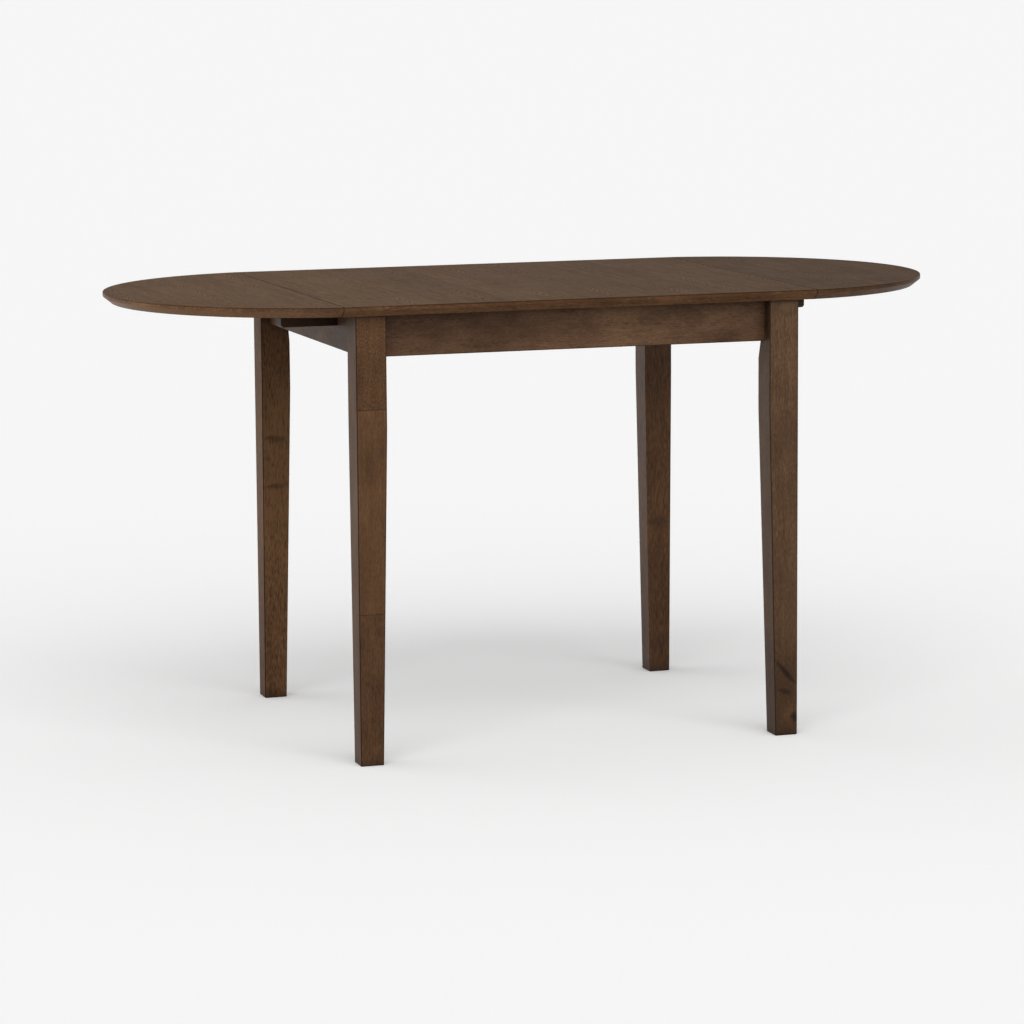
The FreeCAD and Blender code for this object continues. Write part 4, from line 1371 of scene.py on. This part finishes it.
@dataclass(frozen=True)
class HexNut:
    """Nut turned with a chamfer at both ends, then milled to six flats.

    Attributes:
        facets: Facets round the axis.
        land_share: Radius of the flat end, of half the width across flats.
        chamfer_share: Height of the chamfer at the corners, of the nut's height.
        mouth_share: Chamfer of the bore's mouths, of the bore's radius.
    """

    FLATS: ClassVar[int] = 6
    FLAT_TURN: ClassVar[float] = 60.0

    facets: int = 48
    land_share: float = 0.95
    chamfer_share: float = 0.16
    mouth_share: float = 0.12

    def shape(self, bore: float, corner: float, height: float) -> bmesh.types.BMesh:
        """Models one nut that stands on the origin, with a corner on X.

        Args:
            bore: Radius of the bore, in metres.
            corner: Distance from the axis to a corner, in metres.
            height: Height of the nut, in metres.

        Returns:
            The closed mesh.
        """
        made = bmesh.new()
        half_turn = self.FLAT_TURN / 2
        flat = corner * math.cos(math.radians(half_turn))
        land = flat * self.land_share
        chamfer = height * self.chamfer_share
        mouth = bore * self.mouth_share
        profile = [
            (bore, mouth), (bore + mouth, 0.0), (land, 0.0), (corner, chamfer), (corner, height - chamfer),
            (land, height), (bore + mouth, height), (bore, height - mouth)]
        turn_profile(made, profile, self.facets, closed=True)
        for number in range(self.FLATS):
            turn = Matrix.Rotation(math.radians(half_turn + self.FLAT_TURN * number), 3, "Z")
            way = turn @ Vector((1.0, 0.0, 0.0))
            everything = made.verts[:] + made.edges[:] + made.faces[:]
            cut = bmesh.ops.bisect_plane(
                made, geom=everything, dist=SAME_PLACE, plane_co=way * flat, plane_no=way, clear_outer=True)
            rim = [item for item in cut["geom_cut"] if isinstance(item, bmesh.types.BMEdge)]
            bmesh.ops.edgeloop_fill(made, edges=rim)
        bmesh.ops.recalc_face_normals(made, faces=made.faces)
        return made


def add_copy(whole: bmesh.types.BMesh, shape: bmesh.types.BMesh, place: Matrix) -> None:
    """Adds a shape to a mesh at its place.

    Args:
        whole: Mesh that takes the shape.
        shape: Shape to add, which is freed.
        place: Matrix that lays it there.
    """
    bmesh.ops.transform(shape, matrix=place, verts=shape.verts)
    passed_on = bpy.data.meshes.new("passed_on")
    shape.to_mesh(passed_on)
    shape.free()
    whole.from_mesh(passed_on)
    bpy.data.meshes.remove(passed_on)


def stand_for(node: str, name: str, whole: bmesh.types.BMesh, material: bpy.types.Material) -> None:
    """Puts a finished steel piece into the scene in place of a CAD node.

    Args:
        node: Name of the node.
        name: Name of the new piece.
        whole: Its mesh, which is freed.
        material: Its finish.
    """
    mesh = bpy.data.meshes.new(name)
    whole.to_mesh(mesh)
    whole.free()
    mesh.shade_smooth()
    mesh.set_sharp_from_angle(angle=math.radians(SHARP_ANGLE))
    mesh.materials.append(material)
    piece = bpy.data.objects.new(name, mesh)
    bpy.context.scene.collection.objects.link(piece)
    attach(piece, body_of(frame["nodes"][node])[0])
    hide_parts(node)
    LOG.info("%s stands for %s with %d faces", name, node, len(mesh.polygons))


@dataclass
class Hardware:
    """Hinges, brackets, bolts and screws.

    Attributes:
        steps: Places of the hinges along each seam.
        hinge_pieces: Pieces of each hinge.
        screw_sets: Nodes that hold wood screws.
        plain_nodes: Zinc pieces that show as they are.
        hinge: Finish of the hinges and their screws.
        zinc: Finish of all other hardware.
        screw: Model of a wood screw.
        bolt: Model of a hanger bolt.
        nut: Model of a nut.
        recess_turn: Turn of the recess from one screw to the next, in degrees.
    """

    steps: tuple[str, ...] = ("front", "middle", "rear")
    hinge_pieces: tuple[str, ...] = ("fixed_plate", "moving_plate", "pin")
    screw_sets: tuple[str, ...] = (
        "top_bracket_screws", "hinge_fixed_plate_screws", "left_hinge_moving_plate_screws",
        "right_hinge_moving_plate_screws", "left_bearing_block_screws", "right_bearing_block_screws",
        "corner_block_screws")
    plain_nodes: tuple[str, ...] = ("hanger_bolt_washers", "top_brackets")
    hinge: MetalFinish = MetalFinish(
        "hinge_steel", dull=(96, 84, 70), bright=(138, 122, 102), roughness=0.36)
    zinc: MetalFinish = MetalFinish(
        "zinc_steel", dull=(150, 152, 154), bright=(196, 198, 200), roughness=0.3)
    screw: CrossHeadScrew = CrossHeadScrew()
    bolt: HangerBolt = HangerBolt()
    nut: HexNut = HexNut()
    recess_turn: float = 37.0

    def build(self, effects: Effects) -> None:
        """Dresses the plain steel pieces and models the threaded ones.

        Args:
            effects: Shared node groups.
        """
        hinge = self.hinge.material(effects)
        zinc = self.zinc.material(effects)
        for side in SIDES:
            for step in self.steps:
                for piece in self.hinge_pieces:
                    dress(f"{side}_{step}_hinge_{piece}", hinge)
        for node in self.plain_nodes:
            dress(node, zinc)
        for node in self.screw_sets:
            self.drive_screws(node, hinge if "hinge" in node else zinc)
        self.draw_in_legs(zinc)

    def drive_screws(self, node: str, material: bpy.types.Material) -> None:
        """Models the screws of one node.

        Args:
            node: Name of the node.
            material: Finish of the screws.
        """
        whole = bmesh.new()
        for number, points in enumerate(loose_solids(node)):
            spindle = find_spindle(points)
            add_copy(whole, self.screw.shape(spindle), spindle.lay(math.radians(self.recess_turn * number)))
        stand_for(node, f"{node}_cross_head", whole, material)

    def draw_in_legs(self, material: bpy.types.Material) -> None:
        """Models the hanger bolts and their nuts.

        Args:
            material: Finish of both.
        """
        studs = bmesh.new()
        nuts = bmesh.new()
        spindles = [find_spindle(points).inward() for points in loose_solids("hanger_bolts")]
        for spindle in spindles:
            add_copy(studs, self.bolt.shape(spindle), spindle.lay())
        # Each nut sits on the nearest stud, with its corners where the CAD nut has them.
        for points in loose_solids("hanger_bolt_nuts"):
            middle = sum(points, Vector()) / len(points)
            spindle = min(spindles, key=lambda item: (item.start - middle).length)
            along = [(point - spindle.start).dot(spindle.axis) for point in points]
            seat = spindle.start + spindle.axis * min(along)
            ways = [point - spindle.start - spindle.axis * step for point, step in zip(points, along)]
            corner = max(ways, key=lambda way: way.length)
            bore = min(way.length for way in ways)
            sideways = spindle.axis.cross(corner).normalized()
            turned = Matrix((corner.normalized(), sideways, spindle.axis)).transposed().to_4x4()
            shape = self.nut.shape(bore, corner.length, max(along) - min(along))
            add_copy(nuts, shape, Matrix.Translation(seat) @ turned)
        stand_for("hanger_bolts", "hanger_bolts_threaded", studs, material)
        stand_for("hanger_bolt_nuts", "hanger_bolt_nuts_chamfered", nuts, material)


@dataclass(frozen=True)
class SoftLight:
    """Broad far light.

    Attributes:
        name: Name of the light.
        towards: Direction from the table to the light.
        spread: Apparent width, in degrees.
        level: Strength.
    """

    name: str
    towards: Triple
    spread: float
    level: float

    def hang(self) -> None:
        """Hangs the light in the scene."""
        lamp = bpy.data.lights.new(self.name, "SUN")
        lamp.angle = math.radians(self.spread)
        lamp.energy = self.level
        light = bpy.data.objects.new(self.name, lamp)
        light.rotation_euler = (-Vector(self.towards)).to_track_quat("-Z", "Y").to_euler()
        bpy.context.scene.collection.objects.link(light)


@dataclass
class Studio:
    """Pale floor, soft light and the camera.

    Attributes:
        floor_size: Length of the floor's sides, in metres.
        floor_shown: Floor's colour to the eye and in reflections.
        floor_bounce: Floor's colour to scattered light.
        floor_glow: Light added to the floor to the eye and in reflections.
        camera_place: Where the camera stands, in metres.
        camera_turn: Turn of the view from +Y towards +X, in degrees.
        camera_pitch: Downward tilt, in degrees.
        camera_roll: Roll about the view, in degrees.
        focal_pixels: Focal length in pixels of the frame.
        frame_pixels: Width of the frame, in pixels.
        sensor_width: Sensor width in millimetres.
        lamps: The soft lights.
        world_level: Strength of the even light all round.
        world_shown: Brightness of what is behind the floor, to the eye and in reflections.
    """

    floor_size: float = 600.0
    floor_shown: float = 0.92
    floor_bounce: float = 0.45
    floor_glow: float = 0.12
    camera_place: Triple = (-2.0970, -6.3740, 1.3497)
    camera_turn: float = 18.099
    camera_pitch: float = 8.454
    camera_roll: float = -0.412
    focal_pixels: float = 3957.4
    frame_pixels: float = 1024.0
    sensor_width: float = 36.0
    lamps: tuple[SoftLight, ...] = (
        SoftLight("key", towards=(-0.15, -1.0, 0.50), spread=85.0, level=2.40),
        SoftLight("fill", towards=(-1.0, 0.5, 0.05), spread=70.0, level=1.2))
    world_level: float = 0.46
    world_shown: float = 0.92

    def build(self) -> None:
        """Sets up floor, lights, world, view and camera."""
        self.lay_floor()
        for lamp in self.lamps:
            lamp.hang()
        self.fill_world()
        self.stand_camera()
        bpy.context.scene.view_settings.view_transform = "Standard"

    def lay_floor(self) -> None:
        """Makes the floor, which is see-through from below."""
        shape = bmesh.new()
        bmesh.ops.create_grid(shape, x_segments=1, y_segments=1, size=self.floor_size / 2)
        mesh = bpy.data.meshes.new("floor")
        shape.to_mesh(mesh)
        shape.free()
        floor = bpy.data.objects.new("floor", mesh)
        bpy.context.scene.collection.objects.link(floor)
        material = bpy.data.materials.new("pale_floor")
        g = fresh_graph(material)
        seen = self.seen(g)
        colour = g.blend(seen, grey(self.floor_bounce), grey(self.floor_shown))
        matt = g.node("ShaderNodeBsdfDiffuse", {"Color": colour}).outputs[0]
        glow = g.node("ShaderNodeEmission", {"Strength": g.times(seen, self.floor_glow)}).outputs[0]
        lit = g.node("ShaderNodeAddShader", {0: matt, 1: glow}).outputs[0]
        clear = g.node("ShaderNodeBsdfTransparent").outputs[0]
        back = g.node("ShaderNodeNewGeometry").outputs["Backfacing"]
        both = g.node("ShaderNodeMixShader", {0: back, 1: lit, 2: clear}).outputs[0]
        g.node("ShaderNodeOutputMaterial", {"Surface": both})
        mesh.materials.append(material)

    def fill_world(self) -> None:
        """Lights the scene evenly from all round."""
        world = bpy.data.worlds.new("studio")
        g = fresh_graph(world)
        strength = g.add(g.times(self.seen(g), self.world_shown - self.world_level), self.world_level)
        even = g.node("ShaderNodeBackground", {"Color": grey(1.0), "Strength": strength}).outputs[0]
        g.node("ShaderNodeOutputWorld", {"Surface": even})
        bpy.context.scene.world = world

    def seen(self, g: Graph) -> Socket:
        """Tells what the eye and reflections see from what lights other surfaces.

        Args:
            g: Graph of the floor's material or of the world.

        Returns:
            Number that is 1 to the eye and in reflections, and 0 to scattered light.
        """
        path = g.node("ShaderNodeLightPath").outputs
        mirrored = g.math("MAXIMUM", path["Is Glossy Ray"], path["Is Transmission Ray"])
        return g.math("MAXIMUM", path["Is Camera Ray"], mirrored)

    def stand_camera(self) -> None:
        """Stands the camera at the photograph's place."""
        lens = bpy.data.cameras.new("camera")
        lens.sensor_width = self.sensor_width
        lens.lens = self.focal_pixels / self.frame_pixels * self.sensor_width
        lens.clip_end = self.floor_size
        turn, pitch, roll = (math.radians(a) for a in (self.camera_turn, self.camera_pitch, self.camera_roll))
        ahead = Vector((math.sin(turn) * math.cos(pitch), math.cos(turn) * math.cos(pitch), -math.sin(pitch)))
        level = Vector((math.cos(turn), -math.sin(turn), 0.0))
        upright = level.cross(ahead)
        right = math.cos(roll) * level + math.sin(roll) * upright
        up = math.cos(roll) * upright - math.sin(roll) * level
        turned = Matrix((right, up, -ahead)).transposed().to_4x4()
        camera = bpy.data.objects.new("camera", lens)
        camera.matrix_world = Matrix.Translation(self.camera_place) @ turned
        bpy.context.scene.collection.objects.link(camera)
        bpy.context.scene.camera = camera


def main() -> None:
    """Builds and dresses the table in order, then the studio."""
    logging.basicConfig(level=logging.INFO, format="%(name)s: %(message)s")
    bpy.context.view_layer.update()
    effects = Effects()
    TableTop().dress(effects)
    UnderFrame().dress(effects)
    SupportBars().dress(effects)
    Hardware().build(effects)
    Studio().build()


if __name__ == "__main__":
    main()
